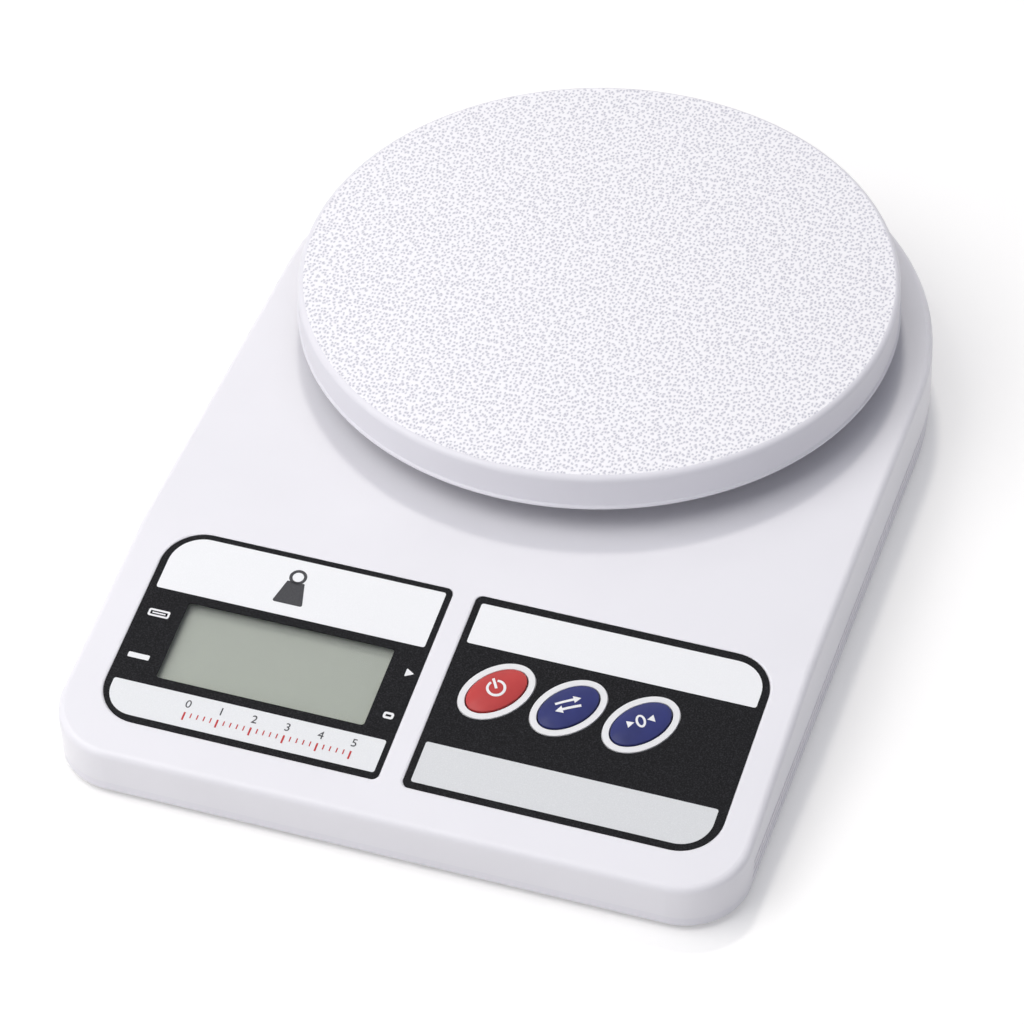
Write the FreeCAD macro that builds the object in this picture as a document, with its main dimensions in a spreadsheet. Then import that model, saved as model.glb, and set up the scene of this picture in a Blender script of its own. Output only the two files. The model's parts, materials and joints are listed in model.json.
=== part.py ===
import FreeCAD, Part
import os
import re
from math import atan2, degrees, hypot, sqrt

import Sketcher
from FreeCAD import Placement, Rotation, Vector

# A digital kitchen scale: a two-part white casing with a sloped front panel, a round
# platter on a load cell, a display and three buttons. Millimetres and degrees, +Z up,
# X to the right, Y to the rear. The origin is the middle of the footprint, on the table.

SIZES = {
    # casing, seen from above: straight front with rounded corners, round rear end
    "casing_width": 164.0,
    "deck_length": 97.5,
    "corner_radius": 15.5,
    "casing_wall": 2.2,
    "floor_thickness": 2.0,
    "upper_draft": 1.2,
    "lower_draft": 1.5,
    # casing, seen from the side: flat rear, panel sloping down to the front
    "foot_stand": 1.2,
    "casing_height": 22.72,
    "panel_slope": 9.1,
    "panel_reach": 64.7,
    "break_radius": 40.0,
    "top_edge_radius": 1.8,
    "bottom_edge_radius": 1.0,
    # parting of the two shells: high along the sides, low across the front
    "side_parting": 10.0,
    "front_parting": 3.0,
    "parting_drop": 16.9,
    "parting_drop_radius": 2.5,
    "side_line_depth": 0.45,
    "side_line_width": 0.5,
    "side_line_pitch": 2.2,
    "side_line_start": 3.4,
    # neck hole in the casing top, under the platter
    "neck_clearance": 2.0,
    # platter
    "platter_margin": 8.4,
    "platter_flare": 0.4,
    "platter_lip_height": 0.9,
    "platter_height": 9.4,
    "platter_lip_gap": 7.58,
    "platter_wall": 2.2,
    "platter_plate": 2.0,
    "platter_shoulder": 1.6,
    "platter_rib_depth": 2.6,
    "platter_rib_width": 1.6,
    "platter_socket_wall": 2.0,
    "platter_socket_depth": 6.6,
    "socket_clearance": 0.3,
    # platter carrier: drum through the neck hole, plate and pad on the load cell
    "drum_radius": 26.0,
    "drum_wall": 2.2,
    "carrier_plate": 2.0,
    "carrier_flange": 4.0,
    "carrier_pad": 1.6,
    "carrier_arm_width": 24.0,
    "weigh_travel": 0.5,
    # load cell: an aluminium beam across the casing
    "cell_length": 80.0,
    "cell_width": 12.0,
    "cell_height": 12.0,
    "cell_end": 26.0,
    "cell_hole_radius": 4.2,
    "cell_hole_spacing": 14.0,
    "plinth_height": 1.0,
    "coating_setback": 6.0,
    "coating_thickness": 0.8,
    "cell_screw_radius": 2.0,
    "cell_screw_head_radius": 3.6,
    "cell_screw_head": 1.2,
    "cell_screw_bite": 7.0,
    "cell_screw_spacing": 14.0,
    "thread_clearance": 0.05,
    # labels, measured along the slope from the break line
    "display_label_margin": 9.05,
    "key_label_margin": 7.9,
    "label_front_margin": 10.15,
    "display_label_right": 3.85,
    "key_label_left": 1.85,
    "label_top": 0.52,
    "label_outer_radius": 10.0,
    "label_inner_radius": 1.7,
    "label_thickness": 0.3,
    "label_pocket": 0.4,
    "label_clearance": 0.15,
    "label_flare_depth": 0.25,
    "label_flare_angle": 68.0,
    # display
    "window_outer_margin": 10.9,
    "window_inner_margin": 7.75,
    "window_top": 20.17,
    "window_bottom": 42.12,
    "window_corner": 0.8,
    "window_undercut": 1.2,
    "window_thickness": 0.8,
    "window_seat_clearance": 0.15,
    "cell_glass_border": 2.4,
    "cell_glass_thickness": 2.8,
    "glass_gap": 0.1,
    "holder_wall": 1.5,
    "holder_clearance": 0.2,
    "strip_width": 2.0,
    # circuit board, parallel to the panel
    "board_depth": 6.0,
    "board_side_gap": 15.0,
    "board_top": 5.37,
    "board_front_gap": 2.0,
    "board_thickness": 1.6,
    "board_post_radius": 2.75,
    "board_post_inset_x": 4.0,
    "board_post_inset_y": 3.0,
    "board_screw_radius": 1.0,
    "board_screw_head_radius": 2.2,
    "board_screw_head": 1.3,
    "board_screw_bite": 5.0,
    # buttons: tilted ovals in a row on the right label
    "key_first_x": 14.5,
    "key_pitch": 17.1,
    "key_row": 25.27,
    "key_tilt": 49.5,
    "ring_major": 9.55,
    "ring_minor": 6.65,
    "ring_width": 1.6,
    "ring_rise": 0.15,
    "ring_clearance": 0.15,
    "key_clearance": 0.3,
    "key_edge_rise": 0.45,
    "key_dome": 1.0,
    "key_flange": 1.2,
    "key_flange_gap": 0.3,
    "key_flange_thickness": 1.0,
    "key_travel": 0.4,
    "key_stem_radius": 1.5,
    "switch_width": 6.0,
    "switch_height": 3.8,
    "plunger_radius": 1.7,
    "plunger_clearance": 0.08,
    "plunger_length": 2.1,
    # parts on the underside of the board
    "chip_radius": 5.0,
    "chip_height": 1.4,
    "chip_x": 20.0,
    "chip_row": 39.37,
    "crystal_radius": 1.5,
    "crystal_length": 8.0,
    "crystal_x": -10.0,
    "crystal_row": 13.37,
    "capacitor_radius": 2.5,
    "capacitor_length": 6.5,
    "capacitor_inset": 22.0,
    "capacitor_row": 13.37,
    # batteries, bay and door
    "battery_radius": 7.25,
    "battery_length": 50.5,
    "battery_nub_length": 1.0,
    "battery_nub_radius": 2.75,
    "battery_gap": 0.9,
    "contact_gap": 0.3,
    "contact_thickness": 0.4,
    "contact_width": 11.0,
    "contact_tail": 3.6,
    "spring_room": 7.8,
    "spring_radius": 3.6,
    "spring_wire": 0.4,
    "bay_setback": 22.4,
    "bay_wall": 1.6,
    "bay_roof": 1.5,
    "bay_clearance": 0.6,
    "door_thickness": 1.8,
    "door_clearance": 0.2,
    "hinge_tab_x": 18.0,
    "hinge_tab_width": 6.0,
    "hinge_tab_reach": 1.6,
    "hinge_tab_thickness": 1.2,
    "hinge_tab_gap": 0.25,
    "hinge_slot_clearance": 0.4,
    "hinge_slot_height": 5.5,
    "tongue_width": 14.0,
    "tongue_length": 9.0,
    "tongue_slot": 1.0,
    "finger_notch_depth": 0.8,
    # leads held inside the casing
    "wire_radius": 0.6,
    "wire_bend_radius": 1.8,
    "wire_pitch": 1.8,
    "wire_end_reach": 8.6,
    "ribbon_width": 4.0,
    "ribbon_thickness": 0.9,
    "ribbon_bay_gap": 2.55,
    "ribbon_end_reach": 12.6,
    "ribbon_clear": 3.0,
    "lead_end_gap": 0.1,
    # casing screws and their bosses
    "screw_side_inset": 8.5,
    "screw_front_inset": 16.3,
    "screw_middle_setback": 27.4,
    "rear_ring_inset": 12.9,
    "screw_angle": 26.2,
    "boss_radius": 3.5,
    "floor_boss_radius": 4.2,
    "floor_boss_height": 2.5,
    "screw_radius": 1.3,
    "screw_head_radius": 2.6,
    "screw_head": 1.6,
    "screw_seat_depth": 2.3,
    "screw_bite": 7.0,
    "screw_clearance": 0.3,
    "cross_depth": 0.9,
    "cross_width": 0.7,
    # feet
    "foot_radius": 7.0,
    "foot_pocket": 0.8,
    "foot_clearance": 0.1,
    "foot_edge": 0.4,
    "foot_side_inset": 20.0,
    "foot_front_inset": 28.3,
    "foot_angle": 54.7,
    # how far a cutting tool runs past what it cuts
    "overrun": 5.0,
}

PLATTER_RIBS = 8
SIDE_LINES = 3
SPRING_HALF_TURNS = 8
# the cross recess of a screw, as a share of the head's radius
CROSS_SHARE = 1.2

# Places worked out from the sizes above, as formulas
FORMULAS = {
    "half_width": "casing_width / 2",
    "casing_length": "panel_reach + deck_length + casing_width / 2",
    "front_y": "-casing_length / 2",
    "rear_y": "casing_length / 2",
    "platter_y": "casing_length / 2 - casing_width / 2",
    "floor_z": "foot_stand + floor_thickness",
    "top_z": "foot_stand + casing_height",
    "break_y": "panel_reach - casing_length / 2",
    "platter_radius": "half_width - platter_margin",
    "parting_z": "foot_stand + side_parting",
    "cell_z": "foot_stand + floor_thickness + plinth_height",
    "platter_lip_z": "foot_stand + casing_height + platter_lip_gap",
    "coating_length": "cell_length - cell_end * 2 - coating_setback * 2",
    "display_label_side": "half_width - display_label_margin",
    "key_label_side": "half_width - key_label_margin",
    "label_bottom": "panel_reach / cos(panel_slope) - label_front_margin",
    "window_left": "display_label_side - window_outer_margin",
    "window_right": "display_label_right + window_inner_margin",
    "board_half_width": "half_width - board_side_gap",
    "capacitor_x": "board_half_width - capacitor_inset",
    "board_bottom": "label_bottom - board_front_gap",
    "bay_y": "break_y + bay_setback",
    "bay_half_length": "battery_length / 2 + spring_room / 2 + contact_thickness + contact_gap",
    "bay_half_width": "battery_radius * 2 + battery_gap / 2 + bay_clearance",
    "battery_z": "foot_stand + door_thickness + contact_gap + battery_radius",
    "battery_offset": "battery_radius + battery_gap / 2",
    "holder_room": "cell_glass_border + holder_clearance",
    "window_margin": "cell_glass_border + holder_clearance + holder_wall",
    "board_n": "-casing_wall - board_depth",
    "wire_end_y": "break_y - wire_end_reach",
    "ribbon_x": "-bay_half_length - bay_wall - ribbon_bay_gap - ribbon_width / 2",
    "ribbon_end_y": "break_y - ribbon_end_reach",
    "screw_x": "half_width - screw_side_inset",
    "screw_front_y": "front_y + screw_front_inset",
    "screw_middle_y": "break_y + screw_middle_setback",
    "screw_rear_x": "(half_width - rear_ring_inset) * cos(screw_angle)",
    "screw_rear_y": "platter_y + (half_width - rear_ring_inset) * sin(screw_angle)",
    "foot_x": "half_width - foot_side_inset",
    "foot_front_y": "front_y + foot_front_inset",
    "foot_rear_x": "(half_width - rear_ring_inset) * cos(foot_angle)",
    "foot_rear_y": "platter_y + (half_width - rear_ring_inset) * sin(foot_angle)",
}

doc = FreeCAD.newDocument("KitchenScale")
sheet = doc.addObject("Spreadsheet::Sheet", "Sizes")
for row, (name, size) in enumerate(SIZES.items(), start=1):
    sheet.set(f"A{row}", name)
    sheet.set(f"B{row}", str(size))
    sheet.setAlias(f"B{row}", name)
doc.recompute()
finished = []


def written_out(formula):
    """The formula with every named place replaced by its own formula."""
    text = str(formula)
    for _ in FORMULAS:
        text = re.sub(
            r"[a-z_]+", lambda word: f"({FORMULAS[word[0]]})" if word[0] in FORMULAS else word[0], text
        )
    return text


def in_sheet(formula):
    """The formula as an expression that reads the sheet."""
    return re.sub(
        r"[a-z_]+",
        lambda word: f"Sizes.{word[0]}" if word[0] in SIZES else word[0],
        written_out(formula),
    )


def size_of(formula):
    return float(sheet.evalExpression(in_sheet(formula)))


def bind(item, prop, formula):
    item.setExpression(prop, in_sheet(formula))


def new(kind, name):
    return doc.addObject(kind, name)


def move(item, x="0", y="0", z="0"):
    bind(item, "Placement.Base.x", x)
    bind(item, "Placement.Base.y", y)
    bind(item, "Placement.Base.z", z)
    return item


def on_panel(item, x="0", s="0", n="0"):
    """Lay an item on the sloped panel: s runs up the slope, from the break line, and n stands off it."""
    item.Placement = Placement(Vector(0, 0, 0), Rotation(Vector(1, 0, 0), size_of("panel_slope")))
    bind(item, "Placement.Rotation.Angle", "panel_slope")
    along = f"break_y + ({s}) * cos(panel_slope) - ({n}) * sin(panel_slope)"
    above = f"top_z + ({s}) * sin(panel_slope) + ({n}) * cos(panel_slope)"
    return move(item, x, along, above)


def piece(item, name):
    """Mark an item as a finished piece, whose name is also its file's name."""
    item.Label = name
    finished.append(item)
    return item


# Outlines: each corner is (x, y), or (x, y, radius, turn) where the edge that leaves it
# is an arc that turns left (1) or right (-1)


def arc_between(start, end, radius, turn):
    chord = end - start
    across = Vector(-chord.y, chord.x, 0) * (turn / chord.Length)
    centre = (start + end) * 0.5 + across * sqrt(max(radius**2 - (chord.Length / 2) ** 2, 0))
    first, last = (start, end) if turn > 0 else (end, start)
    angles = [atan2(point.y - centre.y, point.x - centre.x) for point in (first, last)]
    return Part.ArcOfCircle(Part.Circle(centre, Vector(0, 0, 1), radius), *angles)


def add_outline(sketch, corners):
    points = [Vector(size_of(corner[0]), size_of(corner[1]), 0) for corner in corners]
    starts = []
    ends = []
    for index, corner in enumerate(corners):
        here, there = points[index], points[(index + 1) % len(points)]
        if len(corner) == 4:
            radius, turn = corner[2:]
            edge = sketch.addGeometry(arc_between(here, there, size_of(radius), turn), False)
            number = sketch.addConstraint(Sketcher.Constraint("Radius", edge, size_of(radius)))
            bind(sketch, f"Constraints[{number}]", radius)
            starts.append((edge, 1 if turn > 0 else 2))
            ends.append((edge, 2 if turn > 0 else 1))
        else:
            edge = sketch.addGeometry(Part.LineSegment(here, there), False)
            starts.append((edge, 1))
            ends.append((edge, 2))
    for index, corner in enumerate(corners):
        following = (index + 1) % len(corners)
        sketch.addConstraint(Sketcher.Constraint("Coincident", *ends[index], *starts[following]))
        for axis, formula, place in (
            ("X", corner[0], points[index].x), ("Y", corner[1], points[index].y)
        ):
            number = sketch.addConstraint(
                Sketcher.Constraint(f"Distance{axis}", -1, 1, *starts[index], place)
            )
            bind(sketch, f"Constraints[{number}]", formula)


def add_circle(sketch, x, y, radius):
    centre = Vector(size_of(x), size_of(y), 0)
    circle = sketch.addGeometry(Part.Circle(centre, Vector(0, 0, 1), size_of(radius)), False)
    for kind, formula, place in (("DistanceX", x, centre.x), ("DistanceY", y, centre.y)):
        number = sketch.addConstraint(Sketcher.Constraint(kind, -1, 1, circle, 3, place))
        bind(sketch, f"Constraints[{number}]", formula)
    number = sketch.addConstraint(Sketcher.Constraint("Radius", circle, size_of(radius)))
    bind(sketch, f"Constraints[{number}]", radius)


def sketch_on(body, role, level="0"):
    plane = next(item for item in body.Origin.OriginFeatures if item.Role == role)
    sketch = body.newObject("Sketcher::SketchObject", body.Name + "Sketch")
    sketch.AttachmentSupport = [(plane, "")]
    sketch.MapMode = "FlatFace"
    bind(sketch, "AttachmentOffset.Base.z", level)
    return sketch


def padded(name, corners, level, height, role="XY_Plane"):
    """A body with one pad of the outline, from level upwards."""
    body = new("PartDesign::Body", name)
    sketch = sketch_on(body, role, level)
    add_outline(sketch, corners)
    pad = body.newObject("PartDesign::Pad", name + "Pad")
    pad.Profile = sketch
    bind(pad, "Length", height)
    return body, pad


def across(name, corners, width):
    """A body padded evenly to both sides of the middle plane, from an outline in Y and Z."""
    body, pad = padded(name, corners, "0", width, "YZ_Plane")
    pad.SideType = "Symmetric"
    return body


def revolved(name, corners):
    """A body revolved about the Z axis, from an outline in radius and height."""
    body = new("PartDesign::Body", name)
    sketch = sketch_on(body, "XZ_Plane")
    add_outline(sketch, corners)
    turned = body.newObject("PartDesign::Revolution", name + "Turned")
    turned.Profile = sketch
    turned.ReferenceAxis = (sketch, ["V_Axis"])
    turned.Angle = 360
    return body


def rounded_edges(body, radius, chosen):
    """Round the edges of the body's tip that chosen(shape) picks."""
    doc.recompute()
    tip = body.Tip
    picked = chosen(tip.Shape)
    names = [
        f"Edge{number + 1}"
        for number, edge in enumerate(tip.Shape.Edges) if any(edge.isSame(e) for e in picked)
    ]
    fillet = body.newObject("PartDesign::Fillet", body.Name + "Fillet")
    fillet.Base = (tip, names)
    bind(fillet, "Radius", radius)
    doc.recompute()
    return fillet


def rim_of(shape, direction):
    """The edges around the faces that look in a direction: those that belong to one such face only."""
    faces = []
    for face in shape.Faces:
        u_from, u_to, v_from, v_to = face.ParameterRange
        if face.normalAt((u_from + u_to) / 2, (v_from + v_to) / 2).dot(direction) > 0.9:
            faces.append(face)
    edges = [edge for face in faces for edge in face.Edges]
    return [edge for edge in edges if sum(edge.isSame(other) for other in edges) == 1]


def rectangle(x_from, x_to, y_from, y_to):
    return [(x_from, y_from), (x_to, y_from), (x_to, y_to), (x_from, y_to)]


def rounded_rectangle(x_from, x_to, y_from, y_to, left, right):
    """A rectangle with one radius on its two left corners and another on its two right ones."""
    return [
        (f"{x_from} + {left}", y_from),
        (f"{x_to} - {right}", y_from, right, 1),
        (x_to, f"{y_from} + {right}"),
        (x_to, f"{y_to} - {right}", right, 1),
        (f"{x_to} - {right}", y_to),
        (f"{x_from} + {left}", y_to, left, 1),
        (x_from, f"{y_to} - {left}"),
        (x_from, f"{y_from} + {left}", left, 1),
    ]


def box(name, x, y, z, length, width, height):
    item = new("Part::Box", name)
    for prop, formula in (("Length", length), ("Width", width), ("Height", height)):
        bind(item, prop, formula)
    return move(item, x, y, z)


def cylinder(name, x, y, z, radius, height):
    item = new("Part::Cylinder", name)
    bind(item, "Radius", radius)
    bind(item, "Height", height)
    return move(item, x, y, z)


def lying_cylinder(name, x, y, z, radius, length):
    """A cylinder along X."""
    item = cylinder(name, x, y, z, radius, length)
    item.Placement = Placement(Vector(0, 0, 0), Rotation(Vector(0, 1, 0), 90))
    return move(item, x, y, z)


def oval(name, major, minor, x, s, n, height):
    """An oval prism, its long axis tilted as on the buttons."""
    ellipse = new("Part::Ellipse", name + "Outline")
    bind(ellipse, "MajorRadius", major)
    bind(ellipse, "MinorRadius", minor)
    ellipse.Placement = Placement(Vector(0, 0, 0), Rotation(Vector(0, 0, 1), size_of("key_tilt")))
    bind(ellipse, "Placement.Rotation.Angle", "key_tilt")
    move(ellipse, x, s, n)
    prism = new("Part::Extrusion", name)
    prism.Base = ellipse
    prism.DirMode = "Custom"
    prism.Dir = Vector(0, 0, 1)
    prism.Solid = True
    bind(prism, "LengthFwd", height)
    return prism


def fused(name, items):
    item = new("Part::MultiFuse", name)
    item.Shapes = items
    item.Refine = True
    return item


def cut(name, base, tool):
    item = new("Part::Cut", name)
    item.Base = base
    item.Tool = tool
    item.Refine = True
    return item


def common(name, base, tool):
    item = new("Part::Common", name)
    item.Base = base
    item.Tool = tool
    item.Refine = True
    return item


def grouped(name, items):
    item = new("Part::Compound", name)
    item.Links = items
    return item


# Casing form: the outside of both shells in one solid, and the space inside them


def casing_outline(inset):
    half = f"half_width - {inset}"
    near = f"front_y + {inset}"
    corner = f"(corner_radius - {inset})"
    return [
        (f"{half} - {corner}", near, corner, 1),
        (half, f"{near} + {corner}"),
        (half, "platter_y", half, 1),
        ("0", f"platter_y + {half}", half, 1),
        (f"-({half})", "platter_y"),
        (f"-({half})", f"{near} + {corner}", corner, 1),
        (f"-({half}) + {corner}", near),
    ]


def drafted_casing(name, inset, bottom_z):
    """The outline padded up and down from the parting, drawn in both ways by the draft."""
    body, pad = padded(name, casing_outline(inset), "parting_z", "top_z - parting_z + overrun")
    pad.SideType = "Two sides"
    bind(pad, "Length2", f"parting_z - ({bottom_z})")
    bind(pad, "TaperAngle", "-upper_draft")
    bind(pad, "TaperAngle2", "-lower_draft")
    return body


def trim_top(body, depth):
    """Cut the body down to the side profile of the casing top, or to one set in by a wall."""
    bend = f"(break_radius * tan(panel_slope / 2))"
    slope_y = f"break_y - {bend} * cos(panel_slope) + {depth} * sin(panel_slope)"
    slope_z = f"top_z - {bend} * sin(panel_slope) - {depth} * cos(panel_slope)"
    near = "front_y - overrun"
    near_z = f"top_z - (break_y - ({near})) * tan(panel_slope) - {depth} / cos(panel_slope)"
    sketch = sketch_on(body, "YZ_Plane")
    add_outline(
        sketch,
        [
            (near, near_z),
            (slope_y, slope_z, f"break_radius - {depth}", -1),
            (f"break_y + {bend}", f"top_z - {depth}"),
            ("rear_y + overrun", f"top_z - {depth}"),
            ("rear_y + overrun", "top_z + overrun * 2"),
            (near, "top_z + overrun * 2"),
        ],
    )
    doc.recompute()
    before = body.Shape.Volume
    pocket = body.newObject("PartDesign::Pocket", body.Name + "Trim")
    pocket.Profile = sketch
    pocket.SideType = "Symmetric"
    bind(pocket, "Length", "casing_width + overrun * 2")
    doc.recompute()
    if body.Shape.Volume > before * 0.95:
        raise RuntimeError(f"{body.Name}: the top profile cut nothing")


form = drafted_casing("CasingForm", "0", "foot_stand")
trim_top(form, "0")
rounded_edges(form, "top_edge_radius", lambda shape: rim_of(shape, Vector(0, 0, 1)))
rounded_edges(form, "bottom_edge_radius", lambda shape: rim_of(shape, Vector(0, 0, -1)))
room = drafted_casing("CasingRoom", "casing_wall", "floor_z")
trim_top(room, "casing_wall")
shell = cut("CasingShell", form, room)

# Parting: an S-shaped drop in the side profile, just behind the front corners
drop_y = "front_y + parting_drop - parting_drop_radius"
low_z = "foot_stand + front_parting"
upper_side = across(
    "UpperSide",
    [
        ("front_y - overrun", low_z),
        (drop_y, low_z, "parting_drop_radius", 1),
        (f"{drop_y} + parting_drop_radius", f"{low_z} + parting_drop_radius"),
        (
            f"{drop_y} + parting_drop_radius",
            "parting_z - parting_drop_radius",
            "parting_drop_radius",
            -1,
        ),
        (f"{drop_y} + parting_drop_radius * 2", "parting_z"),
        ("rear_y + overrun", "parting_z"),
        ("rear_y + overrun", "top_z + overrun"),
        ("front_y - overrun", "top_z + overrun"),
    ],
    "casing_width + overrun * 2",
)
upper_shell = common("UpperShell", shell, upper_side)
lower_shell = cut("LowerShell", shell, upper_side)

SCREW_PLACES = [
    ("-screw_x", "screw_front_y"),
    ("screw_x", "screw_front_y"),
    ("-screw_x", "screw_middle_y"),
    ("screw_x", "screw_middle_y"),
    ("-screw_rear_x", "screw_rear_y"),
    ("screw_rear_x", "screw_rear_y"),
]
FOOT_PLACES = [
    ("-foot_x", "foot_front_y"),
    ("foot_x", "foot_front_y"),
    ("-foot_rear_x", "foot_rear_y"),
    ("foot_rear_x", "foot_rear_y"),
]
BOARD_SCREW_PLACES = [
    (f"{side}(board_half_width - board_post_inset_x)", s)
    for side in ("-", "")
    for s in ("-board_top - board_post_inset_y", "-board_bottom + board_post_inset_y")
]
KEYS = [
    ("power", "key_first_x"),
    ("mode", "key_first_x + key_pitch"),
    ("tare", "key_first_x + key_pitch * 2"),
]


def build_top_casing():
    boss_z = "floor_z + floor_boss_height"
    bosses = [
        cylinder(f"TopBoss{number}", x, y, boss_z, "boss_radius", "casing_height + overrun")
        for number, (x, y) in enumerate(SCREW_PLACES)
    ]
    posts = [
        on_panel(
            cylinder(f"Post{number}", "0", "0", "0", "board_post_radius", "board_depth + casing_wall"),
            x,
            s,
            "board_n",
        )
        for number, (x, s) in enumerate(BOARD_SCREW_PLACES)
    ]
    pillars = common("TopPillars", fused("TopBosses", bosses + posts), form)
    solid = fused("TopSolid", [upper_shell, pillars])
    tools = [
        cylinder(
            f"TopPilot{number}",
            x,
            y,
            boss_z,
            "screw_radius + thread_clearance",
            "screw_bite + thread_clearance",
        )
        for number, (x, y) in enumerate(SCREW_PLACES)
    ]
    for number, (x, s) in enumerate(BOARD_SCREW_PLACES):
        pilot = cylinder(
            f"PostPilot{number}",
            "0",
            "0",
            "0",
            "board_screw_radius + thread_clearance",
            "board_screw_bite",
        )
        tools.append(on_panel(pilot, x, s, "board_n"))
    neck = cylinder(
        "Neck", "0", "platter_y", "floor_z", "drum_radius + neck_clearance", "casing_height + overrun"
    )
    tools.append(neck)
    for name, corners in (
        ("DisplayPocket", display_label_outline("label_clearance")),
        ("KeyPocket", key_label_outline("label_clearance")),
    ):
        pocket, _ = padded(name, corners, "-label_pocket", "overrun")
        tools.append(on_panel(pocket))
    # each pocket flares out a little at the surface
    for name, corners in (
        ("DisplayFlare", display_label_outline()),
        ("KeyFlare", key_label_outline()),
    ):
        flare, pad = padded(name, corners, "-label_flare_depth", "label_flare_depth * 2")
        bind(pad, "TaperAngle", "label_flare_angle")
        tools.append(on_panel(flare))
    window, _ = padded(
        "WindowHole",
        window_outline("window_undercut"),
        "-casing_wall - overrun / 2",
        "casing_wall + overrun",
    )
    tools.append(on_panel(window))
    seat, _ = padded(
        "WindowSeat",
        window_outline("(window_margin + window_seat_clearance)"),
        "-casing_wall - overrun / 2",
        "window_thickness + overrun / 2",
    )
    tools.append(on_panel(seat))
    opened = cut("TopOpened", solid, fused("TopTools", tools))
    key_tools = []
    for name, x in KEYS:
        hole = oval(
            name + "Hole",
            "ring_major - ring_width",
            "ring_minor - ring_width",
            x,
            "-key_row",
            "-casing_wall - overrun / 2",
            "casing_wall + overrun",
        )
        seat = oval(
            name + "Seat",
            "ring_major + ring_clearance",
            "ring_minor + ring_clearance",
            x,
            "-key_row",
            "-label_pocket",
            "overrun",
        )
        key_tools.append(on_panel(grouped(name + "Openings", [hole, seat])))
    piece(cut("TopCasing", opened, fused("KeyTools", key_tools)), "top_casing")


def display_label_outline(grow="0"):
    return rounded_rectangle(
        f"(-display_label_side - {grow})",
        f"(-display_label_right + {grow})",
        f"(-label_bottom - {grow})",
        f"(-label_top + {grow})",
        "label_outer_radius",
        "label_inner_radius",
    )


def key_label_outline(grow="0"):
    return rounded_rectangle(
        f"(key_label_left - {grow})",
        f"(key_label_side + {grow})",
        f"(-label_bottom - {grow})",
        f"(-label_top + {grow})",
        "label_inner_radius",
        "label_outer_radius",
    )


def window_outline(grow="0"):
    return rounded_rectangle(
        f"(-window_left - {grow})",
        f"(-window_right + {grow})",
        f"(-window_bottom - {grow})",
        f"(-window_top + {grow})",
        "window_corner",
        "window_corner",
    )


def build_bottom_casing():
    solids = [lower_shell]
    tools = []
    for number, (x, y) in enumerate(SCREW_PLACES):
        solids.append(
            cylinder(
                f"FloorBoss{number}",
                x,
                y,
                "foot_stand",
                "floor_boss_radius",
                "floor_thickness + floor_boss_height",
            ),
        )
        tools.append(
            cylinder(f"FloorHole{number}", x, y, "0", "screw_radius + screw_clearance", "casing_height")
        )
        tools.append(
            cylinder(
                f"ScrewSeat{number}",
                x,
                y,
                "0",
                "screw_head_radius + screw_clearance",
                "foot_stand + screw_seat_depth",
            ),
        )
    bay_x = "bay_half_length + bay_wall"
    bay_front = "bay_y - bay_half_width - bay_wall"
    bay_top = "battery_z + battery_radius + contact_gap"
    solids.append(
        box(
            "BayWalls",
            f"-({bay_x})",
            bay_front,
            "foot_stand",
            f"({bay_x}) * 2",
            "(bay_half_width + bay_wall) * 2",
            f"{bay_top} + bay_roof - foot_stand",
        ),
    )
    tools.append(
        box(
            "BayRoom",
            "-bay_half_length",
            "bay_y - bay_half_width",
            "0",
            "bay_half_length * 2",
            "bay_half_width * 2",
            bay_top,
        ),
    )
    for side, name in (("-", "Left"), ("", "Right")):
        slot_width = "(hinge_tab_width + hinge_slot_clearance * 2)"
        tools.append(
            box(
                f"HingeSlot{name}",
                f"{side}hinge_tab_x - {slot_width} / 2",
                "bay_y + bay_half_width - overrun / 2",
                "floor_z",
                slot_width,
                "bay_wall + overrun",
                "hinge_slot_height",
            ),
        )
    for name, y in (("Front", "bay_y - battery_offset"), ("Rear", "bay_y + battery_offset")):
        tools.append(tail_box(f"TailSlot{name}", y, "thread_clearance"))
    cell_x = "-cell_length / 2"
    solids.append(
        box(
            "Plinth",
            cell_x,
            "platter_y - cell_width / 2",
            "foot_stand",
            "cell_end",
            "cell_width",
            "floor_thickness + plinth_height",
        ),
    )
    solids.append(
        box(
            "OverloadStop",
            "cell_length / 2 - cell_end",
            "platter_y - cell_width / 2",
            "foot_stand",
            "cell_end",
            "cell_width",
            "floor_thickness + plinth_height - weigh_travel",
        ),
    )
    for number, x in enumerate(cell_screw_places("-")):
        tools.append(
            cylinder(
                f"CellHole{number}",
                x,
                "platter_y",
                "0",
                "cell_screw_radius + screw_clearance",
                "casing_height / 2",
            ),
        )
        tools.append(
            cylinder(
                f"CellSeat{number}",
                x,
                "platter_y",
                "0",
                "cell_screw_head_radius + screw_clearance",
                "foot_stand + cell_screw_head",
            ),
        )
    for number, (x, y) in enumerate(FOOT_PLACES):
        tools.append(
            cylinder(
                f"FootPocket{number}",
                x,
                y,
                "0",
                "foot_radius + foot_clearance",
                "foot_stand + foot_pocket",
            ),
        )
    for number in range(SIDE_LINES):
        level = f"foot_stand + side_line_start + side_line_pitch * {number}"
        outside, _ = padded(
            f"LineOutside{number}", casing_outline("(-overrun)"), level, "side_line_width"
        )
        inside, _ = padded(
            f"LineInside{number}", casing_outline("side_line_depth"), level, "side_line_width"
        )
        tools.append(cut(f"SideLine{number}", outside, inside))
    piece(
        cut("BottomCasing", fused("BottomSolid", solids), fused("BottomTools", tools)), "bottom_casing"
    )


def cell_screw_places(side):
    """The two screws of one end of the load cell, on the left (-) or the right."""
    middle = "(cell_length - cell_end) / 2"
    return [f"{side}{middle} - cell_screw_spacing / 2", f"{side}{middle} + cell_screw_spacing / 2"]


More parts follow.
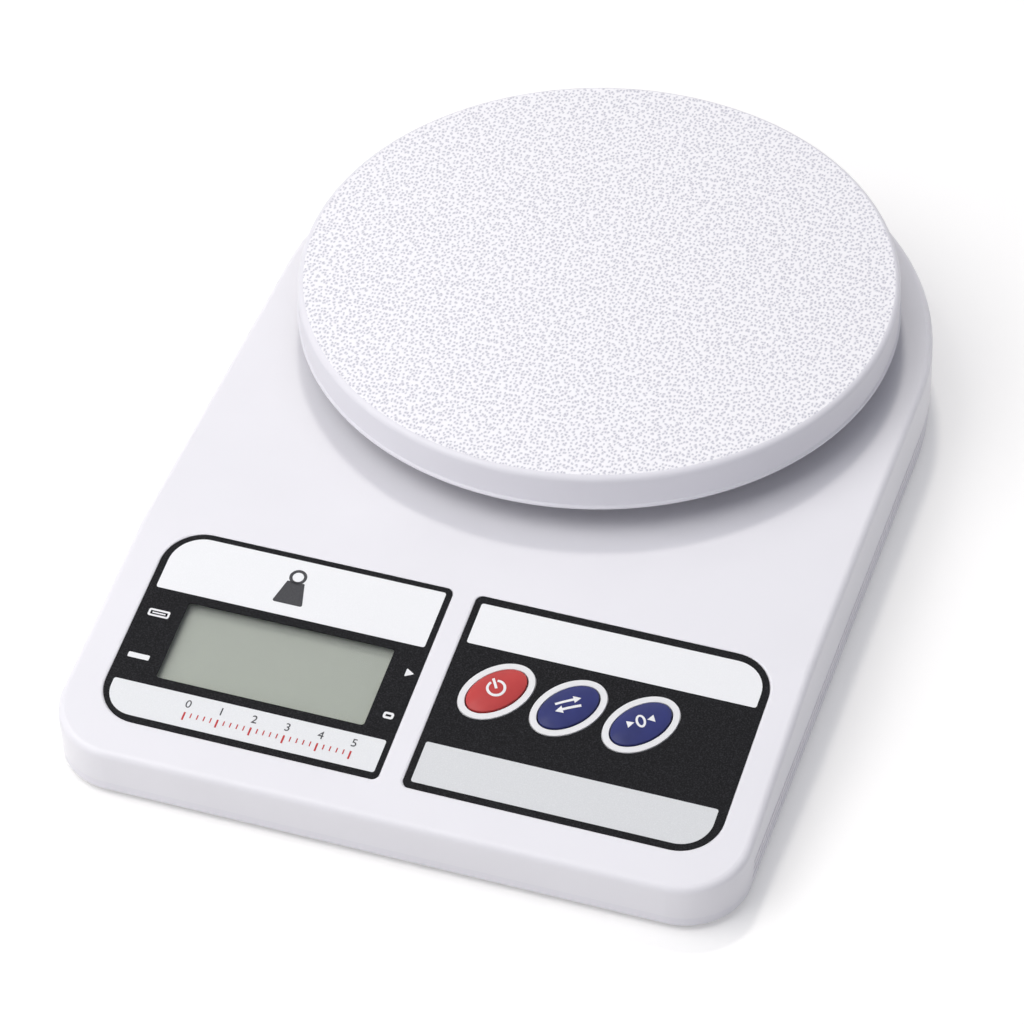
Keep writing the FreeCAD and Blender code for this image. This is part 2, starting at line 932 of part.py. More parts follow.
def tail_box(name, y, grow):
    """The flat tail of a battery terminal, through the wall of the bay."""
    return box(
        name,
        "bay_half_length - contact_thickness",
        f"{y} - contact_tail / 2 - {grow}",
        f"battery_z - contact_thickness / 2 - {grow}",
        "bay_wall + contact_tail + contact_thickness",
        f"contact_tail + {grow} * 2",
        f"contact_thickness + {grow} * 2",
    )


def crossed_screw(name, radius, length, head_radius, head):
    """A screw with its point up: shank, flat head below, cross recess in the head."""
    shank = cylinder(name + "Shank", "0", "0", "0", radius, length)
    cap = cylinder(name + "Head", "0", "0", f"-({head})", head_radius, head)
    arm = f"{head_radius} * {CROSS_SHARE}"
    recess = [
        box(
            name + "CrossX",
            f"-({arm}) / 2",
            "-cross_width / 2",
            f"-({head})",
            arm,
            "cross_width",
            "cross_depth",
        ),
        box(
            name + "CrossY",
            "-cross_width / 2",
            f"-({arm}) / 2",
            f"-({head})",
            "cross_width",
            arm,
            "cross_depth",
        ),
    ]
    return cut(name, fused(name + "Solid", [shank, cap]), fused(name + "Cross", recess))


def copies(name, item, places):
    """Moved copies of one item, each at its own place."""
    links = []
    for number, place in enumerate(places):
        twin = new("Part::Compound", f"{name}{number}")
        twin.Links = [item]
        links.append(place(twin))
    return grouped(name, links)


def build_fasteners_and_feet():
    screw = crossed_screw(
        "CasingScrew",
        "screw_radius",
        "floor_boss_height + floor_thickness - screw_seat_depth + screw_bite",
        "screw_head_radius",
        "screw_head",
    )
    seat_z = "foot_stand + screw_seat_depth"
    piece(
        copies(
            "CasingScrews",
            screw,
            [lambda item, x=x, y=y: move(item, x, y, seat_z) for x, y in SCREW_PLACES],
        ),
        "casing_screws",
    )
    screw = crossed_screw(
        "BoardScrew",
        "board_screw_radius",
        "board_thickness + board_screw_bite - thread_clearance",
        "board_screw_head_radius",
        "board_screw_head",
    )
    under = "board_n - board_thickness"
    piece(
        copies(
            "BoardScrews",
            screw,
            [lambda item, x=x, s=s: on_panel(item, x, s, under) for x, s in BOARD_SCREW_PLACES],
        ),
        "board_screws",
    )
    screw = crossed_screw(
        "CellScrew",
        "cell_screw_radius",
        "floor_thickness + plinth_height - cell_screw_head + cell_screw_bite",
        "cell_screw_head_radius",
        "cell_screw_head",
    )
    piece(
        copies(
            "LoadCellScrews",
            screw,
            [
                lambda item, x=x: move(item, x, "platter_y", "foot_stand + cell_screw_head")
                for x in cell_screw_places("-")
            ],
        ),
        "load_cell_screws",
    )
    foot = new("PartDesign::Body", "Foot")
    sketch = sketch_on(foot, "XY_Plane")
    add_circle(sketch, "0", "0", "foot_radius")
    pad = foot.newObject("PartDesign::Pad", "FootPad")
    pad.Profile = sketch
    bind(pad, "Length", "foot_stand + foot_pocket")
    rounded_edges(foot, "foot_edge", lambda shape: rim_of(shape, Vector(0, 0, -1)))
    piece(
        copies("RubberFeet", foot, [lambda item, x=x, y=y: move(item, x, y) for x, y in FOOT_PLACES]),
        "rubber_feet",
    )


def build_load_cell():
    beam = box(
        "Beam",
        "-cell_length / 2",
        "platter_y - cell_width / 2",
        "cell_z",
        "cell_length",
        "cell_width",
        "cell_height",
    )
    tools = []
    for side, name in (("-", "Left"), ("", "Right")):
        hole = cylinder(
            f"BeamHole{name}", "0", "0", "0", "cell_hole_radius", "cell_width + overrun * 2"
        )
        hole.Placement = Placement(Vector(0, 0, 0), Rotation(Vector(1, 0, 0), -90))
        tools.append(
            move(
                hole,
                f"{side}cell_hole_spacing / 2",
                "platter_y - cell_width / 2 - overrun",
                "cell_z + cell_height / 2",
            ),
        )
    tools.append(
        box(
            "BeamSlot",
            "-cell_hole_spacing / 2",
            "platter_y - cell_width / 2 - overrun",
            "cell_z + cell_height / 2 - cell_hole_radius / 4",
            "cell_hole_spacing",
            "cell_width + overrun * 2",
            "cell_hole_radius / 2",
        ),
    )
    for number, x in enumerate(cell_screw_places("-") + cell_screw_places("")):
        tools.append(
            cylinder(
                f"BeamTap{number}",
                x,
                "platter_y",
                "cell_z - overrun",
                "cell_screw_radius + thread_clearance",
                "cell_height + overrun * 2",
            ),
        )
    piece(cut("LoadCell", beam, fused("BeamTools", tools)), "load_cell")
    coats = [
        box(
            f"Coat{name}",
            "-coating_length / 2",
            "platter_y - cell_width / 2",
            z,
            "coating_length",
            "cell_width",
            "coating_thickness",
        )
        for name, z in (("Top", "cell_z + cell_height"), ("Bottom", "cell_z - coating_thickness"))
    ]
    piece(grouped("GaugeCoating", coats), "gauge_coating")


def build_carrier():
    plate_z = "cell_z + cell_height + carrier_pad"
    drum_top = "platter_lip_z + platter_height - platter_plate"
    disc = cylinder(
        "CarrierDisc", "0", "platter_y", plate_z, "drum_radius + carrier_flange", "carrier_plate"
    )
    arm = box(
        "CarrierArm",
        "0",
        "platter_y - carrier_arm_width / 2",
        plate_z,
        "cell_length / 2",
        "carrier_arm_width",
        "carrier_plate",
    )
    pad = box(
        "CarrierPad",
        "cell_length / 2 - cell_end",
        "platter_y - cell_width / 2",
        "cell_z + cell_height",
        "cell_end",
        "cell_width",
        "carrier_pad",
    )
    drum = cylinder("Drum", "0", "platter_y", plate_z, "drum_radius", f"{drum_top} - ({plate_z})")
    hollow = cylinder(
        "DrumHollow",
        "0",
        "platter_y",
        f"{plate_z} + carrier_plate",
        "drum_radius - drum_wall",
        "casing_height * 2",
    )
    tube = cut("DrumTube", drum, hollow)
    solid = fused("CarrierSolid", [disc, arm, pad, tube])
    tools = []
    for number, x in enumerate(cell_screw_places("")):
        tools.append(
            cylinder(
                f"CarrierHole{number}",
                x,
                "platter_y",
                "cell_z",
                "cell_screw_radius + thread_clearance * 2",
                "casing_height / 2 + carrier_plate * 2",
            ),
        )
        tools.append(
            cylinder(
                f"CarrierSeat{number}",
                x,
                "platter_y",
                f"{plate_z} + carrier_plate - cell_screw_head",
                "cell_screw_head_radius + thread_clearance",
                "casing_height * 2",
            ),
        )
    piece(cut("PlatterCarrier", solid, fused("CarrierTools", tools)), "platter_carrier")
    screw = crossed_screw(
        "CarrierScrew",
        "cell_screw_radius",
        "cell_screw_bite + carrier_pad + carrier_plate - cell_screw_head",
        "cell_screw_head_radius",
        "cell_screw_head",
    )

    def head_up(item, x):
        item.Placement = Placement(Vector(0, 0, 0), Rotation(Vector(1, 0, 0), 180))
        return move(item, x, "platter_y", f"{plate_z} + carrier_plate - cell_screw_head")

    piece(
        copies(
            "CarrierScrews", screw, [lambda item, x=x: head_up(item, x) for x in cell_screw_places("")]
        ),
        "carrier_screws",
    )


def build_platter():
    top = "platter_height"
    side = "(platter_radius - platter_flare)"
    plate = revolved(
        "PlatterPlate",
        [
            ("0", f"{top} - platter_plate"),
            (f"{side} - platter_wall", f"{top} - platter_plate"),
            (f"{side} - platter_wall", "0"),
            ("platter_radius", "0"),
            ("platter_radius", "platter_lip_height / 2"),
            (f"{side} + platter_flare / 2", "platter_lip_height"),
            (side, f"{top} - platter_shoulder", "platter_shoulder", 1),
            (f"{side} - platter_shoulder", top),
            ("0", top),
        ],
    )
    socket_inner = "drum_radius + socket_clearance"
    socket_outer = f"{socket_inner} + platter_socket_wall"
    socket_z = f"{top} - platter_plate - platter_socket_depth"
    outer = cylinder(
        "SocketOuter", "0", "0", socket_z, socket_outer, f"{top} - platter_plate / 2 - ({socket_z})"
    )
    inner = cylinder("SocketInner", "0", "0", socket_z, socket_inner, "platter_socket_depth")
    socket = cut("Socket", outer, inner)
    ribs = []
    for number in range(PLATTER_RIBS):
        rib = box(
            f"PlatterRib{number}",
            "0",
            "0",
            "0",
            f"{side} - platter_wall / 2 - ({socket_outer}) + platter_socket_wall / 2",
            "platter_rib_width",
            "platter_rib_depth + platter_plate / 2",
        )
        turn = 360 / PLATTER_RIBS * number
        rib.Placement = Placement(Vector(0, 0, 0), Rotation(Vector(0, 0, 1), turn))
        start = f"({socket_outer} - platter_socket_wall / 2)"
        move(
            rib,
            f"{start} * cos({turn}) + platter_rib_width / 2 * sin({turn})",
            f"{start} * sin({turn}) - platter_rib_width / 2 * cos({turn})",
            f"{top} - platter_plate - platter_rib_depth",
        )
        ribs.append(rib)
    platter = fused("Platter", [plate, socket] + ribs)
    piece(move(platter, "0", "platter_y", "platter_lip_z"), "platter")


def build_labels_and_display():
    label_n = "-label_pocket"
    label, _ = padded("DisplayLabelSheet", display_label_outline(), label_n, "label_thickness")
    window, _ = padded("LabelWindow", window_outline(), "-overrun", "overrun * 2")
    piece(on_panel(cut("DisplayLabel", label, window)), "display_label")
    label, _ = padded("KeyLabelSheet", key_label_outline(), label_n, "label_thickness")
    holes = [
        oval(
            name + "LabelHole",
            "ring_major + ring_clearance",
            "ring_minor + ring_clearance",
            x,
            "-key_row",
            "-overrun",
            "overrun * 2",
        )
        for name, x in KEYS
    ]
    piece(on_panel(cut("KeyLabel", label, fused("LabelHoles", holes))), "key_label")
    rings = []
    for name, x in KEYS:
        outer = oval(
            name + "RingOuter",
            "ring_major",
            "ring_minor",
            x,
            "-key_row",
            label_n,
            "label_pocket + ring_rise",
        )
        inner = oval(
            name + "RingInner",
            "ring_major - ring_width",
            "ring_minor - ring_width",
            x,
            "-key_row",
            "-overrun",
            "overrun * 2",
        )
        rings.append(cut(name + "Ring", outer, inner))
    piece(on_panel(grouped("KeyFrames", rings)), "key_frames")
    plate, _ = padded(
        "WindowPlate", window_outline("window_margin"), "-casing_wall", "window_thickness"
    )
    piece(on_panel(plate), "display_window")
    glass_n = "-casing_wall - glass_gap - cell_glass_thickness"
    glass, _ = padded("Glass", window_outline("cell_glass_border"), glass_n, "cell_glass_thickness")
    piece(on_panel(glass), "display_glass")
    ring, _ = padded("HolderOuter", window_outline("window_margin"), "board_n", "board_depth")
    inner, _ = padded(
        "HolderInner", window_outline("holder_room"), "board_n - overrun", "board_depth * 2"
    )
    piece(on_panel(cut("DisplayHolder", ring, inner)), "display_holder")
    strips = [
        box(
            f"Strip{name}",
            "-window_left",
            s,
            "board_n",
            "window_left - window_right",
            "strip_width",
            f"{glass_n} - (board_n)",
        )
        for name, s in (("Top", "-window_top"), ("Bottom", "-window_bottom - strip_width"))
    ]
    piece(on_panel(grouped("ContactStrips", strips)), "contact_strips")


def build_board():
    board, _ = padded(
        "Board",
        rectangle("-board_half_width", "board_half_width", "-board_bottom", "-board_top"),
        "board_n - board_thickness",
        "board_thickness",
    )
    holes = [
        cylinder(
            f"BoardHole{number}",
            x,
            s,
            "board_n - overrun",
            "board_screw_radius + thread_clearance",
            "overrun * 2",
        )
        for number, (x, s) in enumerate(BOARD_SCREW_PLACES)
    ]
    piece(on_panel(cut("MainBoard", board, fused("BoardHoles", holes))), "main_board")
    switches = []
    for name, x in KEYS:
        block = box(
            name + "SwitchBlock",
            f"{x} - switch_width / 2",
            "-key_row - switch_width / 2",
            "board_n",
            "switch_width",
            "switch_width",
            "switch_height",
        )
        well = cylinder(
            name + "SwitchWell",
            x,
            "-key_row",
            "board_n + switch_height / 4",
            "plunger_radius + plunger_clearance",
            "switch_height",
        )
        switches.append(cut(name + "Switch", block, well))
    piece(on_panel(grouped("SwitchBodies", switches)), "switch_bodies")
    under = "board_n - board_thickness"
    piece(
        on_panel(
            cylinder("ChipCap", "0", "0", "0", "chip_radius", "chip_height"),
            "chip_x",
            "-chip_row",
            f"{under} - chip_height",
        ),
        "chip_cap",
    )
    crystal = lying_cylinder(
        "CrystalCan",
        "crystal_x",
        "-crystal_row",
        f"{under} - crystal_radius",
        "crystal_radius",
        "crystal_length",
    )
    piece(on_panel(grouped("Crystal", [crystal])), "timing_crystal")
    piece(
        on_panel(
            cylinder("Capacitor", "0", "0", "0", "capacitor_radius", "capacitor_length"),
            "capacitor_x",
            "-capacitor_row",
            f"{under} - capacitor_length",
        ),
        "capacitor",
    )


def build_keys():
    major = "ring_major - ring_width - key_clearance"
    minor = "ring_minor - ring_width - key_clearance"
    flange_n = "-casing_wall - key_flange_gap - key_flange_thickness"
    stem_n = "board_n + switch_height + key_travel + plunger_clearance"
    for name, x in KEYS:
        column = oval(
            name + "Column",
            major,
            minor,
            x,
            "-key_row",
            flange_n,
            f"key_edge_rise + key_dome - ({flange_n})",
        )
        dome = new("Part::Ellipsoid", name + "Dome")
        dome_height = f"(key_edge_rise + key_dome - ({flange_n}))"
        # the dome's rim meets the column's edge at key_edge_rise
        widen = f"sqrt(1 - pow((key_edge_rise - ({flange_n})) / {dome_height}; 2))"
        bind(dome, "Radius1", dome_height)
        bind(dome, "Radius2", f"({major}) / {widen}")
        bind(dome, "Radius3", f"({minor}) / {widen}")
        dome.Placement = Placement(Vector(0, 0, 0), Rotation(Vector(0, 0, 1), size_of("key_tilt")))
        bind(dome, "Placement.Rotation.Angle", "key_tilt")
        move(dome, x, "-key_row", flange_n)
        cap = common(name + "Cap", column, dome)
        flange = oval(
            name + "Flange",
            f"{major} + key_flange",
            f"{minor} + key_flange",
            x,
            "-key_row",
            flange_n,
            "key_flange_thickness",
        )
        stem = cylinder(
            name + "Stem",
            x,
            "-key_row",
            stem_n,
            "key_stem_radius",
            f"{flange_n} + key_flange_thickness / 2 - ({stem_n})",
        )
        piece(on_panel(fused(name + "Key", [cap, flange, stem])), f"{name}_key")
        plunger = cylinder(name + "Plunger", "0", "0", "0", "plunger_radius", "plunger_length")
        piece(on_panel(plunger, x, "-key_row", f"{stem_n} - plunger_length"), f"{name}_plunger")


def build_battery_parts():
    body_length = "battery_length - battery_nub_length"
    contact_x = "bay_half_length - contact_thickness"
    for name, side, y in (
        ("front", 1, "bay_y - battery_offset"), ("rear", -1, "bay_y + battery_offset")
    ):
        cell = lying_cylinder(f"{name}Cell", "0", "0", "0", "battery_radius", body_length)
        nub = lying_cylinder(
            f"{name}Nub",
            f"{body_length} - contact_thickness",
            "0",
            "0",
            "battery_nub_radius",
            "battery_nub_length + contact_thickness",
        )
        battery = fused(f"{name}Battery", [cell, nub])
        battery.Placement = Placement(
            Vector(0, 0, 0), Rotation(Vector(0, 0, 1), 0 if side > 0 else 180)
        )
        start = f"{contact_x} - contact_gap - battery_length"
        piece(move(battery, start if side > 0 else f"-({start})", y, "battery_z"), f"battery_{name}")
    reach = "battery_offset * 2 + contact_width"
    bridge = box(
        "Bridge",
        "-bay_half_length",
        "bay_y - battery_offset - contact_width / 2",
        "battery_z - contact_width / 2",
        "contact_thickness",
        reach,
        "contact_width",
    )
    piece(bridge, "battery_bridge")
    terminals = []
    for name, y in (("Front", "bay_y - battery_offset"), ("Rear", "bay_y + battery_offset")):
        plate = box(
            f"Terminal{name}",
            contact_x,
            f"{y} - contact_width / 2",
            "battery_z - contact_width / 2",
            "contact_thickness",
            "contact_width",
            "contact_width",
        )
        terminals.append(fused(f"TerminalWithTail{name}", [plate, tail_box(f"Tail{name}", y, "0")]))
    piece(grouped("BatteryTerminals", terminals), "battery_terminals")
    piece(coil_spring("FrontSpring", 1, "bay_y - battery_offset"), "battery_spring_front")
    piece(coil_spring("RearSpring", -1, "bay_y + battery_offset"), "battery_spring_rear")


def coil_spring(name, side, y):
    """A spring from the contact plate to the flat end of a battery, along X, in half turns that lean."""
    wire = size_of("spring_wire")
    radius = size_of("spring_radius")
    room_for_it = size_of(
        "bay_half_length * 2 - contact_thickness * 2 - contact_gap * 2 - battery_length"
    )
    rise = (room_for_it - wire * 2) / SPRING_HALF_TURNS
    upright = 90 + degrees(atan2(rise / 2, radius))
    half_turns = []
    for number in range(SPRING_HALF_TURNS):
        half_turn = Part.makeTorus(
            hypot(radius, rise / 2), wire, Vector(0, 0, 0), Vector(0, 0, 1), 0, 360, 180
        )
        leaning = Rotation(Vector(0, 1, 0), upright if number % 2 else -upright)
        flipped = Rotation(Vector(1, 0, 0), 180 if number % 2 else 0)
        half_turn.Placement = Placement(Vector((number + 0.5) * rise, 0, 0), leaning * flipped)
        half_turns.append(half_turn)
    item = new("Part::Feature", name)
    item.Shape = half_turns[0].multiFuse(half_turns[1:])
    start = size_of("bay_half_length - contact_thickness") - wire
    item.Placement = Placement(
        Vector(-side * start, size_of(y), size_of("battery_z")),
        Rotation(Vector(0, 0, 1), 0 if side > 0 else 180),
    )
    return item


def under_board(y):
    """The height of the board's underside at a place along Y."""
    below = "(board_n - board_thickness) / cos(panel_slope)"
    return f"(top_z - (break_y - ({y})) * tan(panel_slope) + {below})"


def build_leads():
    """Two round leads from the terminals and a flat one from the load cell, to under the board."""
    wires = []
    run_z = size_of("floor_z + wire_radius * 2")
    for number, y in enumerate(("bay_y - battery_offset", "bay_y + battery_offset")):
        x = size_of(f"bay_half_length + bay_wall + wire_radius * 2 + wire_pitch * {number}")
        tail_y = size_of(y)
        tail_z = size_of("battery_z - contact_thickness / 2 - lead_end_gap")
        end_y = size_of("wire_end_y")
        end_z = size_of(f"{under_board('wire_end_y - wire_radius')} - lead_end_gap")
        wires.append(
            bent_wire(
                f"BatteryWire{number}",
                [
                    Vector(x, tail_y, tail_z),
                    Vector(x, tail_y, run_z),
                    Vector(x, end_y, run_z),
                    Vector(x, end_y, end_z),
                ],
            )
        )
    piece(grouped("BatteryWires", wires), "battery_wires")
    depth = "ribbon_thickness"
    start_y = "platter_y - cell_width / 2 - lead_end_gap"
    end_z = f"{under_board('ribbon_end_y')} - lead_end_gap"
    corners = [
        (f"{start_y} - ribbon_clear", "floor_z"),
        (f"{start_y} - ribbon_clear", f"cell_z + cell_height / 2 - {depth}"),
        (start_y, f"cell_z + cell_height / 2 - {depth}"),
        (start_y, "cell_z + cell_height / 2"),
        (f"{start_y} - ribbon_clear - {depth}", "cell_z + cell_height / 2"),
        (f"{start_y} - ribbon_clear - {depth}", f"floor_z + {depth}"),
        (f"ribbon_end_y + {depth}", f"floor_z + {depth}"),
        (f"ribbon_end_y + {depth}", end_z),
        ("ribbon_end_y", end_z),
        ("ribbon_end_y", "floor_z"),
    ]
    ribbon = across("Ribbon", corners, "ribbon_width")
    piece(move(ribbon, "ribbon_x"), "load_cell_ribbon")


def bent_wire(name, points):
    """A round wire along straight runs joined by tangent arcs."""
    radius = size_of("wire_radius")
    bend = size_of("wire_bend_radius")
    edges = []
    start = points[0]
    for before, corner, after in zip(points, points[1:], points[2:]):
        into = (corner - before).normalize()
        out = (after - corner).normalize()
        arc_start = corner - into * bend
        arc_end = corner + out * bend
        middle = corner + (out - into).normalize() * (bend * (sqrt(2) - 1))
        edges.append(Part.LineSegment(start, arc_start).toShape())
        edges.append(Part.Arc(arc_start, middle, arc_end).toShape())
        start = arc_end
    edges.append(Part.LineSegment(start, points[-1]).toShape())
    along = (points[1] - points[0]).normalize()
    profile = Part.Wire(Part.Edge(Part.Circle(points[0], along, radius)))
    item = new("Part::Feature", name)
    item.Shape = Part.Wire(edges).makePipeShell([profile], True, False)
    return item


def build_battery_door():
    half_x = "(bay_half_length - door_clearance)"
    half_y = "(bay_half_width - door_clearance)"
    plate = box(
        "DoorPlate",
        f"-{half_x}",
        f"bay_y - {half_y}",
        "foot_stand",
        f"{half_x} * 2",
        f"{half_y} * 2",
        "door_thickness",
    )
    parts = [plate]
    rear = f"bay_y + {half_y}"
    tab_z = "floor_z + hinge_tab_gap"
    for side, name in (("-", "Left"), ("", "Right")):
        x = f"{side}hinge_tab_x - hinge_tab_width / 2"
        riser_z = "foot_stand + door_thickness / 2"
        parts.append(
            box(
                f"TabRiser{name}",
                x,
                f"{rear} - hinge_tab_reach",
                riser_z,
                "hinge_tab_width",
                "hinge_tab_reach",
                f"{tab_z} + hinge_tab_thickness - ({riser_z})",
            ),
        )
        parts.append(
            box(
                f"Tab{name}",
                x,
                f"{rear} - hinge_tab_reach / 2",
                tab_z,
                "hinge_tab_width",
                "hinge_tab_reach * 1.5",
                "hinge_tab_thickness",
            ),
        )
    front = f"bay_y - {half_y}"
    slots = [
        box(
            f"TongueSlot{name}",
            f"{side}(tongue_width + tongue_slot) / 2 - tongue_slot / 2",
            f"{front} - overrun",
            "0",
            "tongue_slot",
            "tongue_length + overrun",
            "casing_height",
        )
        for side, name in (("-", "Left"), ("", "Right"))
    ]
    notch = box(
        "FingerNotch",
        "-tongue_width / 3",
        f"{front} + tongue_slot",
        "0",
        "tongue_width * 2 / 3",
        "tongue_length / 2",
        "foot_stand + finger_notch_depth",
    )
    piece(
        cut("BatteryDoor", fused("DoorSolid", parts), fused("DoorTools", slots + [notch])),
        "battery_door",
    )


build_top_casing()
build_bottom_casing()
build_fasteners_and_feet()
build_load_cell()
build_carrier()
build_platter()
build_labels_and_display()
build_board()
build_keys()
build_battery_parts()
build_leads()
build_battery_door()
doc.recompute()

for item in doc.Objects:
    if "Invalid" in item.State or "Error" in item.State:
        raise RuntimeError(f"{item.Name} failed: {item.State}")
for item in finished:
    if item.Shape.isNull() or not item.Shape.isValid():
        raise RuntimeError(f"{item.Label} has no valid shape")

os.makedirs("parts", exist_ok=True)
for item in finished:
    item.Shape.exportStep(f"parts/{item.Label}.step")
    print(f"{item.Label}: {len(item.Shape.Solids)} solids, {item.Shape.Volume:.0f} mm3")
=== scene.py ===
# %% [markdown]
# # A kitchen scale, dressed for its portrait
# The scale is already built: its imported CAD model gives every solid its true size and
# place. This lesson loads that model, lights it softly, gives each piece a finish, and
# models what a plain solid can't show: the stippled platter, the domed buttons and the
# printed bands and marks on the front panel.

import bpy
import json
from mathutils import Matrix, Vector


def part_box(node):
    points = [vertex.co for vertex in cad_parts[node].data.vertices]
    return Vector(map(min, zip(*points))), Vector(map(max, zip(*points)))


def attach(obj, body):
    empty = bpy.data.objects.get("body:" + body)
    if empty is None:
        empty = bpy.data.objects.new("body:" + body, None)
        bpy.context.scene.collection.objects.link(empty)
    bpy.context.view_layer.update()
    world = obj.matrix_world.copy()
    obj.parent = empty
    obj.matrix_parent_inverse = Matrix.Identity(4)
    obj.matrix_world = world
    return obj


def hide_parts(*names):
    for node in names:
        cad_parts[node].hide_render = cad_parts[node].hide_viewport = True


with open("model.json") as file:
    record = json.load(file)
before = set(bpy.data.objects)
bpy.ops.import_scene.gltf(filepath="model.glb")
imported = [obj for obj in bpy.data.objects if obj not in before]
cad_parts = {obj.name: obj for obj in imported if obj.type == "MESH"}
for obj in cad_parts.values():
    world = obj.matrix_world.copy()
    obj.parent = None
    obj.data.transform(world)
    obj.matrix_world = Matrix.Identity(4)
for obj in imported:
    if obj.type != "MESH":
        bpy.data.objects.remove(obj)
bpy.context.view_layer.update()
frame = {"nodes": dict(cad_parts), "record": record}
print("CAD nodes loaded:", len(frame["nodes"]))

# %% [markdown]
# ## Units and the sloped panel
# Blender works in metres, and a small appliance is easier to describe in millimetres,
# so every size below is written in millimetres and multiplied by MM. The labels, the
# buttons and the prints all lie on a panel that slopes down to the front. They are
# modelled flat, as on a drawing of that panel, and PANEL then lays them on the slope;
# PANEL_POINT is the drawing's zero point, just in front of where the panel meets the deck.

# %% Units, and the place of the panel
import json
from math import pi, radians

import bmesh
import bpy
from mathutils import Matrix, Vector

MM = 0.001
nodes = frame["nodes"]
PANEL_POINT = Vector((0, -58.75, 23.70)) * MM
PANEL_SLOPE = radians(9.1)
PANEL = Matrix.Translation(PANEL_POINT) @ Matrix.Rotation(PANEL_SLOPE, 4, "X")
below_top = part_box("top_casing")[1].z - PANEL_POINT.z
print("the drawing's zero point lies", round(below_top / MM, 2), "mm below the casing's top")

# %% [markdown]
# ## The camera
# The photograph looks down on the scale from the front right with a long lens, so the
# sides stay nearly parallel. The place, the direction and the lens were worked out from
# the outlines of the casing and the platter. The picture is turned by about a degree,
# which the roll repeats.

# %% Camera
CAMERA_PLACE = Vector((246.30, -736.44, 737.66)) * MM
CAMERA_AZIMUTH = radians(19.16)
CAMERA_ELEVATION = radians(43.64)
CAMERA_ROLL = radians(-1.11)
CAMERA_LENS = 155.03

bpy.ops.object.camera_add(location=CAMERA_PLACE)
camera = bpy.context.object
camera.name = "portrait_camera"
camera.rotation_euler = (
    Matrix.Rotation(CAMERA_AZIMUTH, 3, "Z")
    @ Matrix.Rotation(pi / 2 - CAMERA_ELEVATION, 3, "X")
    @ Matrix.Rotation(CAMERA_ROLL, 3, "Z")
).to_euler()
camera.data.lens = CAMERA_LENS
camera.data.sensor_width = 36
camera.data.clip_end = 20
bpy.context.scene.camera = camera
bpy.context.scene.view_settings.view_transform = "Standard"
print("camera at", [round(part, 3) for part in camera.location])

# %% [markdown]
# ## Materials from nodes
# Each finish is one Principled shader whose colour, roughness and bump come from
# textures in object coordinates, so the grain stays on the piece from every side. A
# small helper adds one node and sets or links its inputs, and three more make what
# nearly every finish needs: a place in millimetres, a cloudy noise and a bump.

# %% Helpers that build a finish
def add_node(finish, kind, inputs=None, **settings):
    """Add one node; an input is linked if it is given another node's output, and set otherwise."""
    node = finish.node_tree.nodes.new(kind)
    for name, value in settings.items():
        setattr(node, name, value)
    for socket, value in (inputs or {}).items():
        if isinstance(value, bpy.types.NodeSocket):
            finish.node_tree.links.new(value, node.inputs[socket])
        else:
            node.inputs[socket].default_value = value
    return node


def new_finish(name, color, roughness, **amounts):
    """A material with one Principled shader; amounts such as Coat_Weight go on its sockets."""
    finish = bpy.data.materials.new(name)
    finish.use_nodes = True
    finish.diffuse_color = (*color, 1)
    shader = finish.node_tree.nodes["Principled BSDF"]
    shader.inputs["Base Color"].default_value = (*color, 1)
    shader.inputs["Roughness"].default_value = roughness
    for socket, amount in amounts.items():
        shader.inputs[socket.replace("_", " ")].default_value = amount
    return finish


def feed(finish, socket, source):
    """Link a node's output to a socket of the finish's shader."""
    shader = finish.node_tree.nodes["Principled BSDF"]
    finish.node_tree.links.new(source, shader.inputs[socket])


def spot_on(finish, stretch=(1, 1, 1), turn=(0, 0, 0)):
    """The place on the piece in millimetres, stretched and then turned."""
    place = add_node(finish, "ShaderNodeTexCoord").outputs["Object"]
    scale = [part / MM for part in stretch]
    inputs = {"Vector": place, "Rotation": turn, "Scale": scale}
    return add_node(finish, "ShaderNodeMapping", inputs).outputs["Vector"]


def clouds(finish, spot, size, detail=2.0):
    """Noise from 0 to 1 whose clouds are about size millimetres across."""
    inputs = {"Vector": spot, "Scale": 1 / size, "Detail": detail}
    return add_node(finish, "ShaderNodeTexNoise", inputs).outputs["Fac"]


def spread(finish, share, low, high, start=0.0, end=1.0):
    """Turn a share between start and end into a number between low and high."""
    inputs = {"Value": share, "From Min": start, "From Max": end, "To Min": low, "To Max": high}
    return add_node(finish, "ShaderNodeMapRange", inputs).outputs["Result"]


def tints(finish, share, low_color, high_color, start=0.0, end=1.0):
    """A colour that goes from one tint to the other as the share goes from start to end."""
    ramp = add_node(finish, "ShaderNodeValToRGB", {"Fac": share})
    for element, position, color in zip(
        ramp.color_ramp.elements, (start, end), (low_color, high_color)
    ):
        element.position = position
        element.color = (*color, 1)
    return ramp.outputs["Color"]


def raised(finish, height, depth, strength=1.0, below=None):
    """A bump whose height of 1 stands depth millimetres proud."""
    inputs = {"Height": height, "Distance": depth * MM, "Strength": strength}
    if below is not None:
        inputs["Normal"] = below
    return add_node(finish, "ShaderNodeBump", inputs).outputs["Normal"]


def math_node(finish, operation, first, second=0.0):
    return add_node(
        finish, "ShaderNodeMath", {0: first, 1: second}, operation=operation
    ).outputs["Value"]


print("finish helpers ready")
